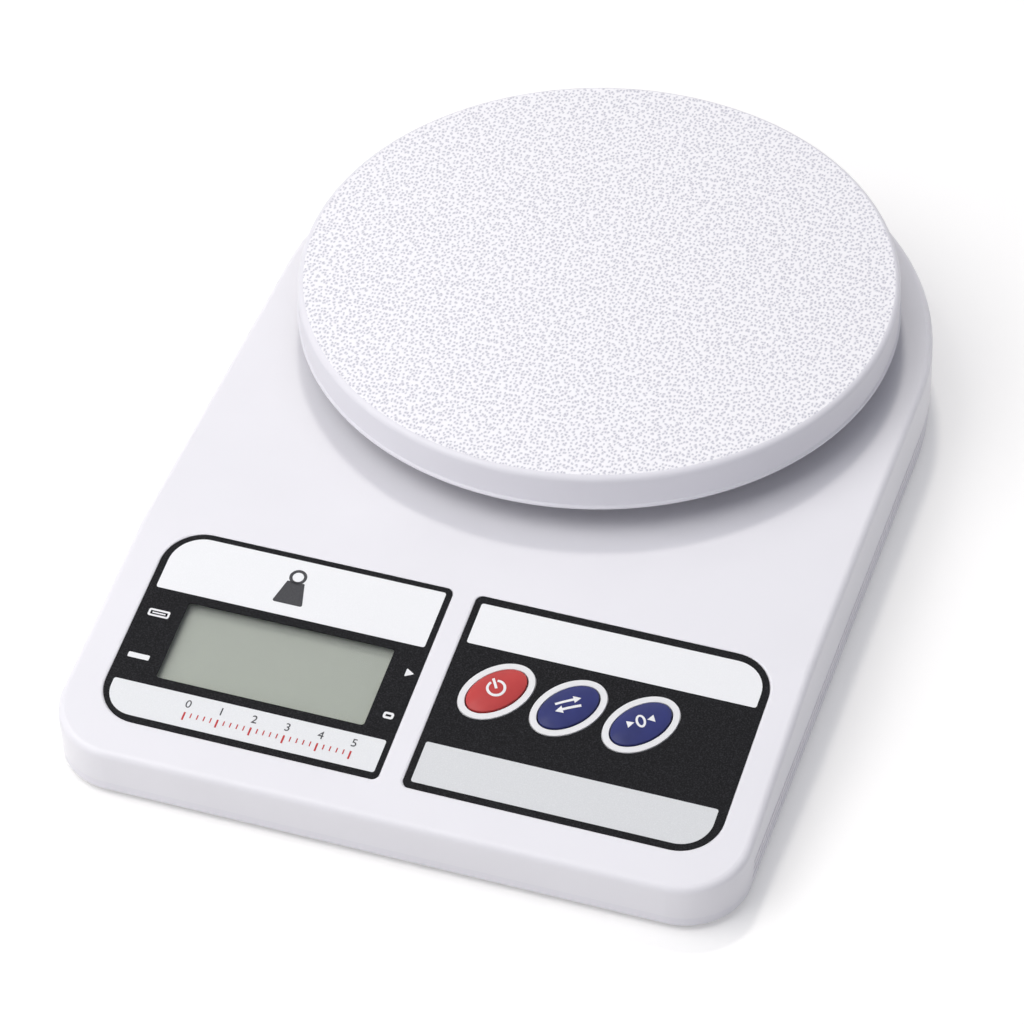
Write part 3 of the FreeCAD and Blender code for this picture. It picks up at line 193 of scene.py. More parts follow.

# %% [markdown]
# ## White moulded plastic
# The casing is injection moulded in a cool white. Such a surface is never one flat tone: it has a
# very faint cloudy tint, a soft gloss that varies a little, and a grain finer than a hair. Two
# noises give the tint and the grain. The same recipe serves both shells. The lower one gets a
# slightly greyer copy of the white, which is painted shade for the lower band near the floor.

# %% Casing finishes
def moulded(name, color, roughness, grain=0.35, grain_depth=0.004, tint=0.97, gloss=0.35):
    """Moulded plastic: a faint cloudy tint, a gloss that varies and a fine grain."""
    finish = new_finish(name, color, roughness, Specular_IOR_Level=gloss)
    spot = spot_on(finish)
    broad = clouds(finish, spot, 45, 3)
    darker = [part * tint for part in color]
    feed(finish, "Base Color", tints(finish, broad, darker, color, 0.35, 0.65))
    patches = clouds(finish, spot, 9, 4)
    uneven = spread(finish, patches, roughness * 0.97, roughness * 1.03, 0.2, 0.8)
    feed(finish, "Roughness", uneven)
    fine = clouds(finish, spot, grain, 2)
    feed(finish, "Normal", raised(finish, fine, grain_depth))
    return finish


finishes = {
    "casing_upper": moulded("casing_upper", (0.83, 0.82, 0.85), 0.3, gloss=0.5),
    # the lower shell's greyer white is painted shade, not a different plastic
    "casing_lower": moulded("casing_lower", (0.80, 0.79, 0.83), 0.32, gloss=0.5),
    "frame_white": moulded("frame_white", (0.80, 0.80, 0.80), 0.5),
    "inner_white": moulded("inner_white", (0.76, 0.76, 0.75), 0.45, grain=0.8, grain_depth=0.01),
}
print("moulded finishes:", ", ".join(finishes))

# %% [markdown]
# ## The platter's two finishes
# The platter's side is the same satin plastic as the casing, but its white is set darker than the
# top's, which is painted shade for the upright side. Its top is textured so that a bowl doesn't
# slide: small pits, about half a millimetre wide and a millimetre apart. A flat cell texture with
# bent coordinates gives pits of uneven shape, some of which run together. They go down in the
# bump, and the darker colour in them is painted shade.

# %% Platter finishes
PIT_PITCH = 0.92
PIT_STRETCH = (1, 0.75, 0)
WOBBLE_PITCH = 0.9
WOBBLE = 0.6


def stippled(name, color, pit_shade_color, roughness):
    """A textured top: small pits, bent a little and here and there run together."""
    finish = new_finish(name, color, roughness)
    flat = spot_on(finish, stretch=PIT_STRETCH)
    wobble = add_node(
        finish, "ShaderNodeTexNoise", {"Vector": flat, "Scale": 1 / WOBBLE_PITCH, "Detail": 0.0}
    ).outputs["Color"]
    centred = add_node(
        finish, "ShaderNodeVectorMath", {0: wobble, 1: (0.5, 0.5, 0.5)}, operation="SUBTRACT"
    ).outputs["Vector"]
    shift = add_node(
        finish, "ShaderNodeVectorMath", {0: centred, "Scale": WOBBLE}, operation="SCALE"
    ).outputs["Vector"]
    bent = add_node(
        finish, "ShaderNodeVectorMath", {0: flat, 1: shift}, operation="ADD"
    ).outputs["Vector"]
    to_middle = add_node(
        finish,
        "ShaderNodeTexVoronoi",
        {"Vector": bent, "Scale": 1 / PIT_PITCH, "Randomness": 0.8},
        voronoi_dimensions="2D",
    ).outputs["Distance"]
    pits = spread(finish, to_middle, 1, 0, 0.1, 0.46)
    # painted shade: the pits are coloured darker than the surface around them
    feed(finish, "Base Color", tints(finish, pits, color, pit_shade_color, 0, 1))
    feed(finish, "Roughness", spread(finish, pits, roughness, roughness + 0.15))
    feed(finish, "Normal", raised(finish, pits, -0.05, 0.6))
    return finish


# the side's darker white is painted shade; the second colour of the top is painted shade in its
# pits
finishes["platter_white"] = moulded("platter_white", (0.79, 0.78, 0.82), 0.3, gloss=0.4)
finishes["platter_top"] = stippled("platter_top", (0.94, 0.93, 0.95), (0.56, 0.55, 0.61), 0.55)
print("platter finishes ready")

# %% [markdown]
# ## Label film, bands and print
# The two labels are dark printed film with a fine grain that catches the light. The bands are
# printed on it in a silvery white whose flakes sparkle slightly. The front pair gets greyer copies
# of that white, which is painted shade for the lower light there. White, grey and red print finish
# the marks.

# %% Label finishes
def film_finish(name, color, sparkle, roughness, gloss=0.3, grain=0.22):
    """Printed film: fine grain in colour, gloss and bump."""
    finish = new_finish(name, color, roughness, Specular_IOR_Level=gloss)
    spot = spot_on(finish)
    fine = clouds(finish, spot, grain, 3)
    feed(finish, "Base Color", tints(finish, fine, color, sparkle, 0.45, 0.75))
    feed(finish, "Roughness", spread(finish, fine, roughness * 0.8, roughness * 1.2, 0.3, 0.7))
    feed(finish, "Normal", raised(finish, fine, 0.006))
    return finish


finishes["label_black"] = film_finish(
    "label_black", (0.005, 0.005, 0.006), (0.032, 0.032, 0.036), 0.6, gloss=0.13, grain=0.32
)
finishes["band_light"] = film_finish("band_light", (0.84, 0.845, 0.85), (0.89, 0.895, 0.90), 0.55)
# the next two are greyer copies of the light band: painted shade for the front bands
finishes["band_pale"] = film_finish("band_pale", (0.76, 0.77, 0.775), (0.83, 0.84, 0.845), 0.55)
finishes["band_grey"] = film_finish("band_grey", (0.67, 0.68, 0.685), (0.75, 0.76, 0.765), 0.55)
finishes["print_white"] = film_finish("print_white", (0.82, 0.82, 0.82), (0.88, 0.88, 0.88), 0.5)
finishes["print_grey"] = film_finish("print_grey", (0.05, 0.05, 0.055), (0.08, 0.08, 0.085), 0.4)
finishes["print_red"] = film_finish("print_red", (0.48, 0.03, 0.035), (0.56, 0.05, 0.05), 0.4)
print("label finishes ready")

# %% [markdown]
# ## Buttons, window and display
# The buttons are glossy, deep coloured plastic under a clear coat, with a slight unevenness that
# bends the highlight. The window is a thin clear sheet: an alpha well below one keeps it
# see-through in any renderer. The display behind it is blank and grey-green, with the faint mottle
# of its film. Painted shade makes it a touch darker towards its top.

# %% Button, window and display finishes
# painted shade: the display's tint is darker at DISPLAY_REAR, its top, than at DISPLAY_FRONT
DISPLAY_FRONT = -98.0
DISPLAY_REAR = -78.0


def glossy(name, color, deep_color):
    """Glossy coloured plastic with a clear coat."""
    coat = {"Coat_Weight": 0.22, "Coat_Roughness": 0.15}
    finish = new_finish(name, color, 0.35, Specular_IOR_Level=0.2, **coat)
    spot = spot_on(finish)
    feed(finish, "Base Color", tints(finish, clouds(finish, spot, 5), deep_color, color, 0.3, 0.7))
    feed(finish, "Normal", raised(finish, clouds(finish, spot, 1.5, 1), 0.004))
    return finish


def display_finish(name, color, rear_shade_color):
    """A blank display with a faint mottle; painted shade darkens its tint from its front to its
    rear.
    """
    finish = new_finish(name, color, 0.3, Coat_Weight=0.3, Coat_Roughness=0.1)
    spot = spot_on(finish)
    along = add_node(finish, "ShaderNodeSeparateXYZ", {"Vector": spot}).outputs["Y"]
    mottle = spread(finish, clouds(finish, spot, 0.5, 3), -1.5, 1.5)
    height = math_node(finish, "ADD", along, mottle)
    share = spread(finish, height, 0, 1, DISPLAY_FRONT, DISPLAY_REAR)
    feed(finish, "Base Color", tints(finish, share, color, rear_shade_color))
    return finish


def clear_window(name):
    """A thin clear sheet with a faint haze."""
    finish = new_finish(name, (0.85, 0.88, 0.86), 0.06, Alpha=0.1)
    spot = spot_on(finish)
    feed(finish, "Roughness", spread(finish, clouds(finish, spot, 4, 3), 0.04, 0.1, 0.3, 0.7))
    feed(
        finish,
        "Base Color",
        tints(finish, clouds(finish, spot, 12), (0.82, 0.86, 0.84), (0.88, 0.9, 0.89)),
    )
    return finish


finishes["key_red"] = glossy("key_red", (0.52, 0.055, 0.052), (0.46, 0.045, 0.045))
finishes["key_blue"] = glossy("key_blue", (0.026, 0.033, 0.16), (0.02, 0.026, 0.125))
# the second colour is the darker painted shade at the display's top
finishes["display_grey"] = display_finish(
    "display_grey", (0.305, 0.335, 0.265), (0.285, 0.31, 0.25)
)
finishes["window_clear"] = clear_window("window_clear")
print("button, window and display finishes ready")

# %% [markdown]
# ## Metals inside
# The beam that weighs is milled aluminium with fine lines along its length, so its
# noise is stretched along X. Screws and contacts are plated steel with small blotches.
# Both use the same recipe: a metallic shader whose roughness and bump follow a
# stretched noise.

# %% Metal finishes
def metal(name, color, roughness, stretch, size):
    """Bare metal with lines or blotches, by how its noise is stretched."""
    finish = new_finish(name, color, roughness, Metallic=1.0)
    lines = clouds(finish, spot_on(finish, stretch=stretch), size, 4)
    darker = [part * 0.82 for part in color]
    feed(finish, "Base Color", tints(finish, lines, darker, color, 0.3, 0.7))
    feed(finish, "Roughness", spread(finish, lines, roughness * 0.7, roughness * 1.4, 0.3, 0.7))
    feed(finish, "Normal", raised(finish, lines, 0.01))
    return finish


# colour, roughness, how the noise is stretched, and the size of its clouds
METALS = {
    "beam_aluminium": ((0.76, 0.76, 0.77), 0.35, (0.04, 1, 1), 0.4),
    "screw_steel": ((0.62, 0.62, 0.60), 0.3, (1, 1, 1), 0.8),
    "contact_steel": ((0.72, 0.71, 0.68), 0.25, (1, 1, 1), 1.6),
    "crystal_steel": ((0.66, 0.66, 0.65), 0.3, (0.1, 1, 1), 0.5),
}
for name, recipe in METALS.items():
    finishes[name] = metal(name, *recipe)
print("metal finishes:", ", ".join(METALS))

# %% [markdown]
# ## Rubber, wires and small parts inside
# The remaining parts are dull and small: silicone, sleeves, insulation and black
# moulded switches. One recipe with a speckle serves them, and the flat lead and the
# rubber strips add stripes from a wave texture, since both really are striped.

# %% Dull and striped finishes
def dull(name, color, speck, roughness, size=0.6, depth=0.015):
    """Dull rubber or plastic with a speckle and a soft bump."""
    finish = new_finish(name, color, roughness)
    spot = spot_on(finish)
    specks = clouds(finish, spot, size, 4)
    feed(finish, "Base Color", tints(finish, specks, color, speck, 0.4, 0.7))
    feed(finish, "Roughness", spread(finish, specks, roughness * 0.9, min(roughness * 1.1, 1)))
    feed(finish, "Normal", raised(finish, specks, depth))
    return finish


def striped(name, color, stripe_color, roughness, axis, pitch, sharp=0.1):
    """A dull finish with stripes that repeat along one axis, pitch millimetres apart."""
    finish = dull(name, color, color, roughness)
    spot = spot_on(finish)
    waves = add_node(
        finish,
        "ShaderNodeTexWave",
        {"Vector": spot, "Scale": pi / (10 * pitch), "Distortion": 0.0},
        bands_direction=axis,
    ).outputs["Fac"]
    stripes = tints(finish, waves, color, stripe_color, 0.5 - sharp, 0.5 + sharp)
    feed(finish, "Base Color", stripes)
    return finish


# colour, colour of the specks, roughness, and the size and depth of the specks if unusual
DULL = {
    "foot_rubber": ((0.66, 0.66, 0.65), (0.72, 0.72, 0.71), 0.75),
    "coating_white": ((0.82, 0.82, 0.80), (0.86, 0.86, 0.84), 0.6, 1.5, 0.05),
    "switch_black": ((0.02, 0.02, 0.021), (0.035, 0.035, 0.037), 0.5),
    "capacitor_sleeve": ((0.04, 0.05, 0.13), (0.06, 0.07, 0.17), 0.4),
    "wire_red": ((0.48, 0.04, 0.035), (0.55, 0.06, 0.05), 0.45),
}
# colour, colour of the stripes, roughness, the axis they repeat along, and their pitch
STRIPED = {
    "ribbon_grey": ((0.6, 0.6, 0.6), (0.42, 0.42, 0.43), 0.45, "X", 1.0),
    "strip_rubber": ((0.70, 0.36, 0.32), (0.06, 0.05, 0.05), 0.6, "X", 0.5),
}
for name, recipe in DULL.items():
    finishes[name] = dull(name, *recipe)
for name, recipe in STRIPED.items():
    finishes[name] = striped(name, *recipe)
print("dull and striped finishes ready")

# %% [markdown]
# ## Circuit board and batteries
# The board has green solder mask over copper tracks. A cell texture with square cells
# gives edges that run like tracks, and the mask is lighter over them. A battery has a
# dark jacket with bare metal at both ends: its colour and its metal change along X,
# where the jacket starts and stops.

# %% Board and battery finishes
def board_finish(name):
    """Solder mask, lighter over the tracks."""
    finish = new_finish(name, (0.03, 0.17, 0.07), 0.35)
    spot = spot_on(finish)
    cells = add_node(
        finish,
        "ShaderNodeTexVoronoi",
        {"Vector": spot, "Scale": 1 / 4.5, "Randomness": 0.8},
        distance="CHEBYCHEV",
    ).outputs["Distance"]
    rings = math_node(finish, "PINGPONG", cells, 0.12)
    tracks = spread(finish, rings, 0, 1, 0.055, 0.07)
    feed(finish, "Base Color", tints(finish, tracks, (0.022, 0.14, 0.055), (0.05, 0.26, 0.11)))
    feed(finish, "Normal", raised(finish, tracks, 0.03))
    return finish


def battery_finish(name, jacket_from, jacket_to):
    """A dark jacket from one place to another along X, in millimetres, and bare metal past it."""
    finish = new_finish(name, (0.03, 0.03, 0.034), 0.32)
    spot = spot_on(finish)
    along = add_node(finish, "ShaderNodeSeparateXYZ", {"Vector": spot}).outputs["X"]
    after = math_node(finish, "GREATER_THAN", along, jacket_from)
    before = math_node(finish, "LESS_THAN", along, jacket_to)
    jacket = math_node(finish, "MULTIPLY", after, before)
    feed(finish, "Metallic", spread(finish, jacket, 1, 0))
    scuffs = clouds(finish, spot, 3, 4)
    feed(finish, "Roughness", spread(finish, scuffs, 0.25, 0.42, 0.3, 0.7))
    feed(finish, "Base Color", tints(finish, jacket, (0.68, 0.67, 0.64), (0.028, 0.028, 0.034)))
    feed(finish, "Normal", raised(finish, scuffs, 0.01))
    return finish


finishes["board_green"] = board_finish("board_green")
JACKET_MARGIN = 0.8
NUB_LENGTH = 1.0
front_low, front_high = (corner.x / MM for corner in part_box("battery_front"))
rear_low, rear_high = (corner.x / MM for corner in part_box("battery_rear"))
battery_finishes = {
    "battery_front": battery_finish(
        "battery_jacket_front", front_low + JACKET_MARGIN, front_high - NUB_LENGTH - JACKET_MARGIN
    ),
    "battery_rear": battery_finish(
        "battery_jacket_rear", rear_low + NUB_LENGTH + JACKET_MARGIN, rear_high - JACKET_MARGIN
    ),
}
print("board and battery finishes ready")

# %% [markdown]
# ## Dress the CAD nodes
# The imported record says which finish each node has. The CAD meshes themselves stay as
# they are: only the material in their first slot changes. Nodes that get a finer mesh
# later are dressed here too, because they still stand for collision.

# %% Dress every node by its slot in the record
for subpart in frame["record"]["subparts"]:
    node_name, slot_name = subpart["node"], subpart["material_slot"]
    finish = battery_finishes.get(node_name) or finishes[slot_name]
    nodes[node_name].material_slots[0].material = finish

# %% [markdown]
# ## Modelling by hand, in code
# The pieces below are made with the same tools that a person uses in the 3-D view. An
# operator acts on all that is selected, so these helpers deselect everything, make one
# piece active, and select faces, edges or corners by where they lie.

# %% Helpers that select and shape
def only(piece):
    """Select one object alone and make it active."""
    bpy.ops.object.select_all(action="DESELECT")
    piece.select_set(True)
    bpy.context.view_layer.objects.active = piece
    return piece


# how far tests may miss: UPRIGHT and LEVEL for a normal's z, NEARLY in mm, the rest in metres
UPRIGHT = 0.9
LEVEL = 0.99
NEARLY = 0.1
SAME_PLACE = 1e-6
WELD = 1e-7


def facing_up(face):
    """A test for faces that look up."""
    return face.normal.z > UPRIGHT


def facing_down(face):
    """A test for faces that look down."""
    return face.normal.z < -UPRIGHT


def edit(piece, kind="FACE"):
    """Go into edit mode with nothing selected."""
    only(piece)
    bpy.ops.object.mode_set(mode="EDIT")
    bpy.ops.mesh.select_mode(type=kind)
    bpy.ops.mesh.select_all(action="DESELECT")


def pick(kind, test):
    """In edit mode, select only the verts, edges or faces that pass the test."""
    bpy.ops.mesh.select_all(action="DESELECT")
    bpy.ops.mesh.select_mode(type={"verts": "VERT", "edges": "EDGE", "faces": "FACE"}[kind])
    mesh = bpy.context.edit_object.data
    shape = bmesh.from_edit_mesh(mesh)
    chosen = [element for element in getattr(shape, kind) if test(element)]
    for element in chosen:
        element.select_set(True)
    shape.select_flush_mode()
    bmesh.update_edit_mesh(mesh)
    return len(chosen)


def pick_all():
    """In edit mode, select everything."""
    bpy.ops.mesh.select_all(action="SELECT")


def middle(element):
    """The middle of an edge or a face, in millimetres."""
    corners = [vert.co for vert in element.verts]
    return sum(corners, Vector()) / len(corners) / MM


def extrude(x=0.0, y=0.0, z=0.0):
    """Extrude the selected region by millimetres."""
    bpy.ops.mesh.extrude_region_move(
        TRANSFORM_OT_translate={"value": (x * MM, y * MM, z * MM)}
    )


def shift(x=0.0, y=0.0, z=0.0):
    """Move the selection by millimetres."""
    bpy.ops.transform.translate(value=(x * MM, y * MM, z * MM))


def resize(x, y, z=1.0, centre=(0, 0, 0)):
    """Scale the selection about a centre in millimetres."""
    override = tuple(part * MM for part in centre)
    bpy.ops.transform.resize(value=(x, y, z), center_override=override)


def object_mode():
    """Leave edit mode."""
    bpy.ops.object.mode_set(mode="OBJECT")


def finish_with(piece, kind, **settings):
    """Add a modifier to the piece and apply it."""
    only(piece)
    modifier = piece.modifiers.new(kind.lower(), kind)
    for name, value in settings.items():
        setattr(modifier, name, value)
    bpy.ops.object.modifier_apply(modifier=modifier.name)


def smooth(piece, angle=30):
    """Smooth shading, with sharp edges where faces meet at more than the angle."""
    only(piece)
    bpy.ops.object.shade_smooth_by_angle(angle=radians(angle))
    finish_with(piece, "WEIGHTED_NORMAL", keep_sharp=True, weight=90)


def place(piece, matrix):
    """Put the piece's place into its mesh; its object stays at the origin."""
    piece.data.transform(piece.matrix_world)
    piece.matrix_world = Matrix.Identity(4)
    piece.data.transform(matrix)
    piece.data.update()
    return piece


def copied(piece, name, matrix):
    """A copy with its own mesh, put in another place."""
    twin = piece.copy()
    twin.data = piece.data.copy()
    twin.name = name
    bpy.context.scene.collection.objects.link(twin)
    twin.data.transform(matrix)
    return twin


def joined(name, pieces):
    """Join several pieces into one."""
    only(pieces[0])
    for piece in pieces[1:]:
        piece.select_set(True)
    bpy.ops.object.join()
    pieces[0].name = name
    return pieces[0]


def deliver(piece, name, finish, body, slot_name, *replaced):
    """Name the piece, give it its finish, hang it on the body it rides on, and hide the CAD nodes
    it replaces.
    """
    piece.name = name
    piece.data.name = name
    piece.data.materials.clear()
    piece.data.materials.append(finishes[finish])
    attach(piece, body)
    if replaced:
        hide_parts(*replaced)
    print(name, len(piece.data.polygons), "faces, rides on", body)
    return piece


# %% [markdown]
# ## The platter
# The real platter is a shallow inverted dish: a flat textured top, a rounded shoulder,
# a side that widens slightly to a small lip, and ribs and a round socket underneath.
# It could be turned from a profile, but raising a disc step by step is easier to
# follow: extrude, widen or narrow the ring, and bevel the shoulder at the end. The
# underside is inset and pushed up to leave a wall.

# %% Platter, from a disc upwards
PLATTER_MIDDLE = (0.0, 40.1)
LIP_HEIGHT = 31.5
PLATTER_TOP = 40.9
LIP_RADIUS = 73.6
SIDE_RADIUS = 73.2
PLATTER_WALL = 2.2
PLATE_THICKNESS = 2.0
SHOULDER = 1.6
LIP_STEP = 0.45
ROUND_STEPS = 192

bpy.ops.mesh.primitive_cylinder_add(
    vertices=ROUND_STEPS,
    radius=LIP_RADIUS * MM,
    depth=LIP_STEP * MM,
    location=(0, 0, LIP_STEP / 2 * MM),
)
platter = place(bpy.context.object, Matrix.Identity(4))
edit(platter)
pick("faces", facing_up)
radius_now = LIP_RADIUS
side_height = PLATTER_TOP - LIP_HEIGHT - LIP_STEP * 2
for rise, radius in ((LIP_STEP, SIDE_RADIUS), (side_height, SIDE_RADIUS)):
    extrude(z=rise)
    resize(radius / radius_now, radius / radius_now)
    radius_now = radius
top_now = (PLATTER_TOP - LIP_HEIGHT - NEARLY) * MM
pick("edges", lambda edge: all(vert.co.z > top_now for vert in edge.verts))
bpy.ops.mesh.bevel(offset=SHOULDER * MM, segments=10, profile=0.5, affect="EDGES")
object_mode()
print("platter outside:", len(platter.data.polygons), "faces")

# %% Platter, the hollow underneath
SOCKET_OUTER = 28.3
SOCKET_INNER = 26.3
SOCKET_DEPTH = 6.6
ceiling = PLATTER_TOP - LIP_HEIGHT - PLATE_THICKNESS

edit(platter)
pick("faces", lambda face: facing_down(face) and len(face.verts) == ROUND_STEPS)
bpy.ops.mesh.inset(thickness=(LIP_RADIUS - SIDE_RADIUS + PLATTER_WALL) * MM)
extrude(z=ceiling)
bpy.ops.mesh.inset(thickness=(SIDE_RADIUS - PLATTER_WALL - SOCKET_OUTER) * MM)
bpy.ops.mesh.inset(thickness=(SOCKET_OUTER - SOCKET_INNER) * MM)


def in_socket_ring(face):
    """A test for the ceiling's faces between the socket's two radii."""
    spot = middle(face)
    on_ceiling = facing_down(face) and spot.z > ceiling - NEARLY
    return on_ceiling and SOCKET_INNER < spot.xy.length < SOCKET_OUTER


pick("faces", in_socket_ring)
extrude(z=-SOCKET_DEPTH)
object_mode()
print("platter with its hollow:", len(platter.data.polygons), "faces")

# %% Platter, its ribs
RIBS = 8
RIB_WIDTH = 1.6
RIB_DEPTH = 2.6
RIB_ROOT = 0.5
RIB_EDGE = 0.3
rib_from = SOCKET_OUTER - RIB_ROOT
rib_to = SIDE_RADIUS - PLATTER_WALL + RIB_ROOT

bpy.ops.mesh.primitive_cube_add(
    size=1,
    location=((rib_from + rib_to) / 2 * MM, 0, (ceiling + (RIB_ROOT - RIB_DEPTH) / 2) * MM),
    scale=((rib_to - rib_from) * MM, RIB_WIDTH * MM, (RIB_DEPTH + RIB_ROOT) * MM),
)
rib = place(bpy.context.object, Matrix.Identity(4))
edit(rib)
rib_foot = ceiling - RIB_DEPTH + NEARLY
pick("edges", lambda edge: middle(edge).z < rib_foot and abs(middle(edge).y) > NEARLY)
bpy.ops.mesh.bevel(offset=RIB_EDGE * MM, segments=2, affect="EDGES")
object_mode()
ribs = [
    copied(rib, f"rib_{number}", Matrix.Rotation(2 * pi * number / RIBS, 4, "Z"))
    for number in range(RIBS)
]
bpy.data.objects.remove(rib)
platter = joined("platter_dressed", [platter, *ribs])
place(platter, Matrix.Translation(Vector((*PLATTER_MIDDLE, LIP_HEIGHT)) * MM))
smooth(platter)
deliver(platter, "platter_dressed", "platter_white", "platter", "platter_white", "platter")
platter.data.materials.append(finishes["platter_top"])
for face in platter.data.polygons:
    if face.normal.z > LEVEL and face.center.z > (PLATTER_TOP - NEARLY) * MM:
        face.material_index = 1

# %% [markdown]
# ## The buttons
# Each button is a low oval dome with a short straight side that goes down through the
# label, and a flange that keeps it in. A sphere squashed to three radii gives the dome
# once a bisect keeps only its cap. The open rim is then extruded down, out for the
# flange, and down again. One button is modelled at the origin; three copies get their
# tilt and place on the panel.

# %% One button
BUTTON_HALF_LENGTH = 7.65
BUTTON_HALF_WIDTH = 4.75
BUTTON_EDGE = 0.45
BUTTON_TOP = 1.45
FLANGE_UNDER = -3.5
FLANGE_THICKNESS = 1.0
FLANGE_REACH = 1.2
BUTTON_ROUND = 0.22
dome_height = BUTTON_TOP - FLANGE_UNDER
edge_height = BUTTON_EDGE - FLANGE_UNDER
widen = (1 - (edge_height / dome_height) ** 2) ** 0.5

bpy.ops.mesh.primitive_uv_sphere_add(segments=96, ring_count=64, radius=MM)
button = bpy.context.object
edit(button)
pick_all()
resize(BUTTON_HALF_LENGTH / widen, BUTTON_HALF_WIDTH / widen, dome_height)
bpy.ops.mesh.bisect(
    plane_co=(0, 0, edge_height * MM), plane_no=(0, 0, 1), clear_inner=True, threshold=WELD
)


def on_rim(height):
    """A test for edges that lie at one height."""
    return lambda edge: all(abs(vert.co.z - height * MM) < SAME_PLACE for vert in edge.verts)


def extrude_edges(z):
    """Extrude the selected edges up or down by millimetres; 0 leaves them to be resized."""
    bpy.ops.mesh.extrude_edges_move(TRANSFORM_OT_translate={"value": (0, 0, z * MM)})


pick("edges", on_rim(edge_height))
extrude_edges(FLANGE_THICKNESS - edge_height)
extrude_edges(0)
resize(
    (BUTTON_HALF_LENGTH + FLANGE_REACH) / BUTTON_HALF_LENGTH,
    (BUTTON_HALF_WIDTH + FLANGE_REACH) / BUTTON_HALF_WIDTH,
)
extrude_edges(-FLANGE_THICKNESS)
bpy.ops.mesh.edge_face_add()
pick("edges", on_rim(edge_height))
bpy.ops.mesh.bevel(offset=BUTTON_ROUND * MM, segments=3, affect="EDGES")
pick_all()
bpy.ops.mesh.remove_doubles(threshold=WELD)
bpy.ops.mesh.normals_make_consistent(inside=False)
shift(z=FLANGE_UNDER)
object_mode()
print("one button:", len(button.data.polygons), "faces")

# %% The button's stem
STEM_RADIUS = 1.5
STEM_UNDER = -3.92
STEM_EDGE = 0.15
stem_top = FLANGE_UNDER + FLANGE_THICKNESS / 2

bpy.ops.mesh.primitive_cylinder_add(
    vertices=32,
    radius=STEM_RADIUS * MM,
    depth=(stem_top - STEM_UNDER) * MM,
    location=(0, 0, (stem_top + STEM_UNDER) / 2 * MM),
)
stem = place(bpy.context.object, Matrix.Identity(4))
edit(stem)
pick("edges", lambda edge: middle(edge).z < STEM_UNDER + NEARLY)
bpy.ops.mesh.bevel(offset=STEM_EDGE * MM, segments=2, affect="EDGES")
object_mode()
button = joined("button", [button, stem])
smooth(button, 35)
print("button with its stem:", len(button.data.polygons), "faces")

# %% Three buttons on the panel
BUTTON_ROW = -23.9
BUTTON_TILT = radians(49.5)
BUTTONS = {
    "power": (14.5, "key_red"),
    "mode": (31.6, "key_blue"),
    "tare": (48.7, "key_blue"),
}


def on_button(x):
    """From a drawing of one button, level and centred, to its place on the panel drawing."""
    move = Matrix.Translation(Vector((x, BUTTON_ROW, 0)) * MM)
    return move @ Matrix.Rotation(BUTTON_TILT, 4, "Z")


for name, (x, finish) in BUTTONS.items():
    twin = copied(button, f"{name}_button", PANEL @ on_button(x))
    deliver(twin, f"{name}_button", finish, f"{name}_key", finish, f"{name}_key")

# %% [markdown]
# ## The white rings
# A flat white ring frames each button. A circle without a fill is squashed to the
# oval, its edge is extruded inwards to the smaller oval, and Solidify and Bevel turn
# that flat band into a ring with soft edges. The three rings are one piece, because
# the CAD model has them as one node.

# %% Rings round the buttons
RING_HALF_LENGTH = 9.55
RING_HALF_WIDTH = 6.65
RING_BAND = 1.6
RING_UNDER = -0.4
RING_TOP = 0.15
RING_EDGE = 0.12

bpy.ops.mesh.primitive_circle_add(vertices=96, radius=MM, fill_type="NOTHING")
ring = bpy.context.object
edit(ring, "EDGE")
pick_all()
resize(RING_HALF_LENGTH, RING_HALF_WIDTH)
extrude_edges(0)
resize(
    (RING_HALF_LENGTH - RING_BAND) / RING_HALF_LENGTH,
    (RING_HALF_WIDTH - RING_BAND) / RING_HALF_WIDTH,
)
pick_all()
bpy.ops.mesh.normals_make_consistent(inside=False)
shift(z=RING_UNDER)
object_mode()
if ring.data.polygons[0].normal.z < 0:
    ring.data.flip_normals()
finish_with(ring, "SOLIDIFY", thickness=(RING_TOP - RING_UNDER) * MM, offset=1)
finish_with(ring, "BEVEL", width=RING_EDGE * MM, segments=3, limit_method="ANGLE")
smooth(ring, 50)
rings = [copied(ring, f"ring_{name}", PANEL @ on_button(x)) for name, (x, _) in BUTTONS.items()]
bpy.data.objects.remove(ring)
all_rings = joined("button_rings", rings)
deliver(all_rings, "button_rings", "frame_white", "base", "frame_white", "key_frames")

# %% [markdown]
# ## The printed bands
# The silvery bands are thin print on the film. Each starts as a plane that is sized
# and moved in edit mode, its corners are rounded one by one with a vertex bevel,
# because the outer corner of a band follows the label's large corner, and Solidify
# gives it the thickness of a print.

# %% A helper for flat prints
PRINT_LEVEL = -0.1
PRINT_THICKNESS = 0.04


def flat_shape(left, right, front, rear, corners=(), small=0.6):
    """A flat four-sided print on the panel drawing.

    A corner is (x, y, radius); the others get the small radius.
    """
    bpy.ops.mesh.primitive_plane_add(size=1)
    shape = bpy.context.object
    edit(shape, "VERT")
    pick_all()
    resize((right - left) * MM, (rear - front) * MM)
    shift((left + right) / 2, (front + rear) / 2, PRINT_LEVEL)
    large = {(x, y): radius for x, y, radius in corners}
    for x in (left, right):
        for y in (front, rear):
            corner = Vector((x, y, PRINT_LEVEL)) * MM
            radius = large.get((x, y), small)
            if radius:
                pick("verts", lambda vert: (vert.co - corner).length < SAME_PLACE)
                bpy.ops.mesh.bevel(offset=radius * MM, segments=12, affect="VERTICES")
    object_mode()
    return shape


def thicken(piece):
    """Give a flat shape the thickness of a print."""
    finish_with(piece, "SOLIDIFY", thickness=PRINT_THICKNESS * MM, offset=1)


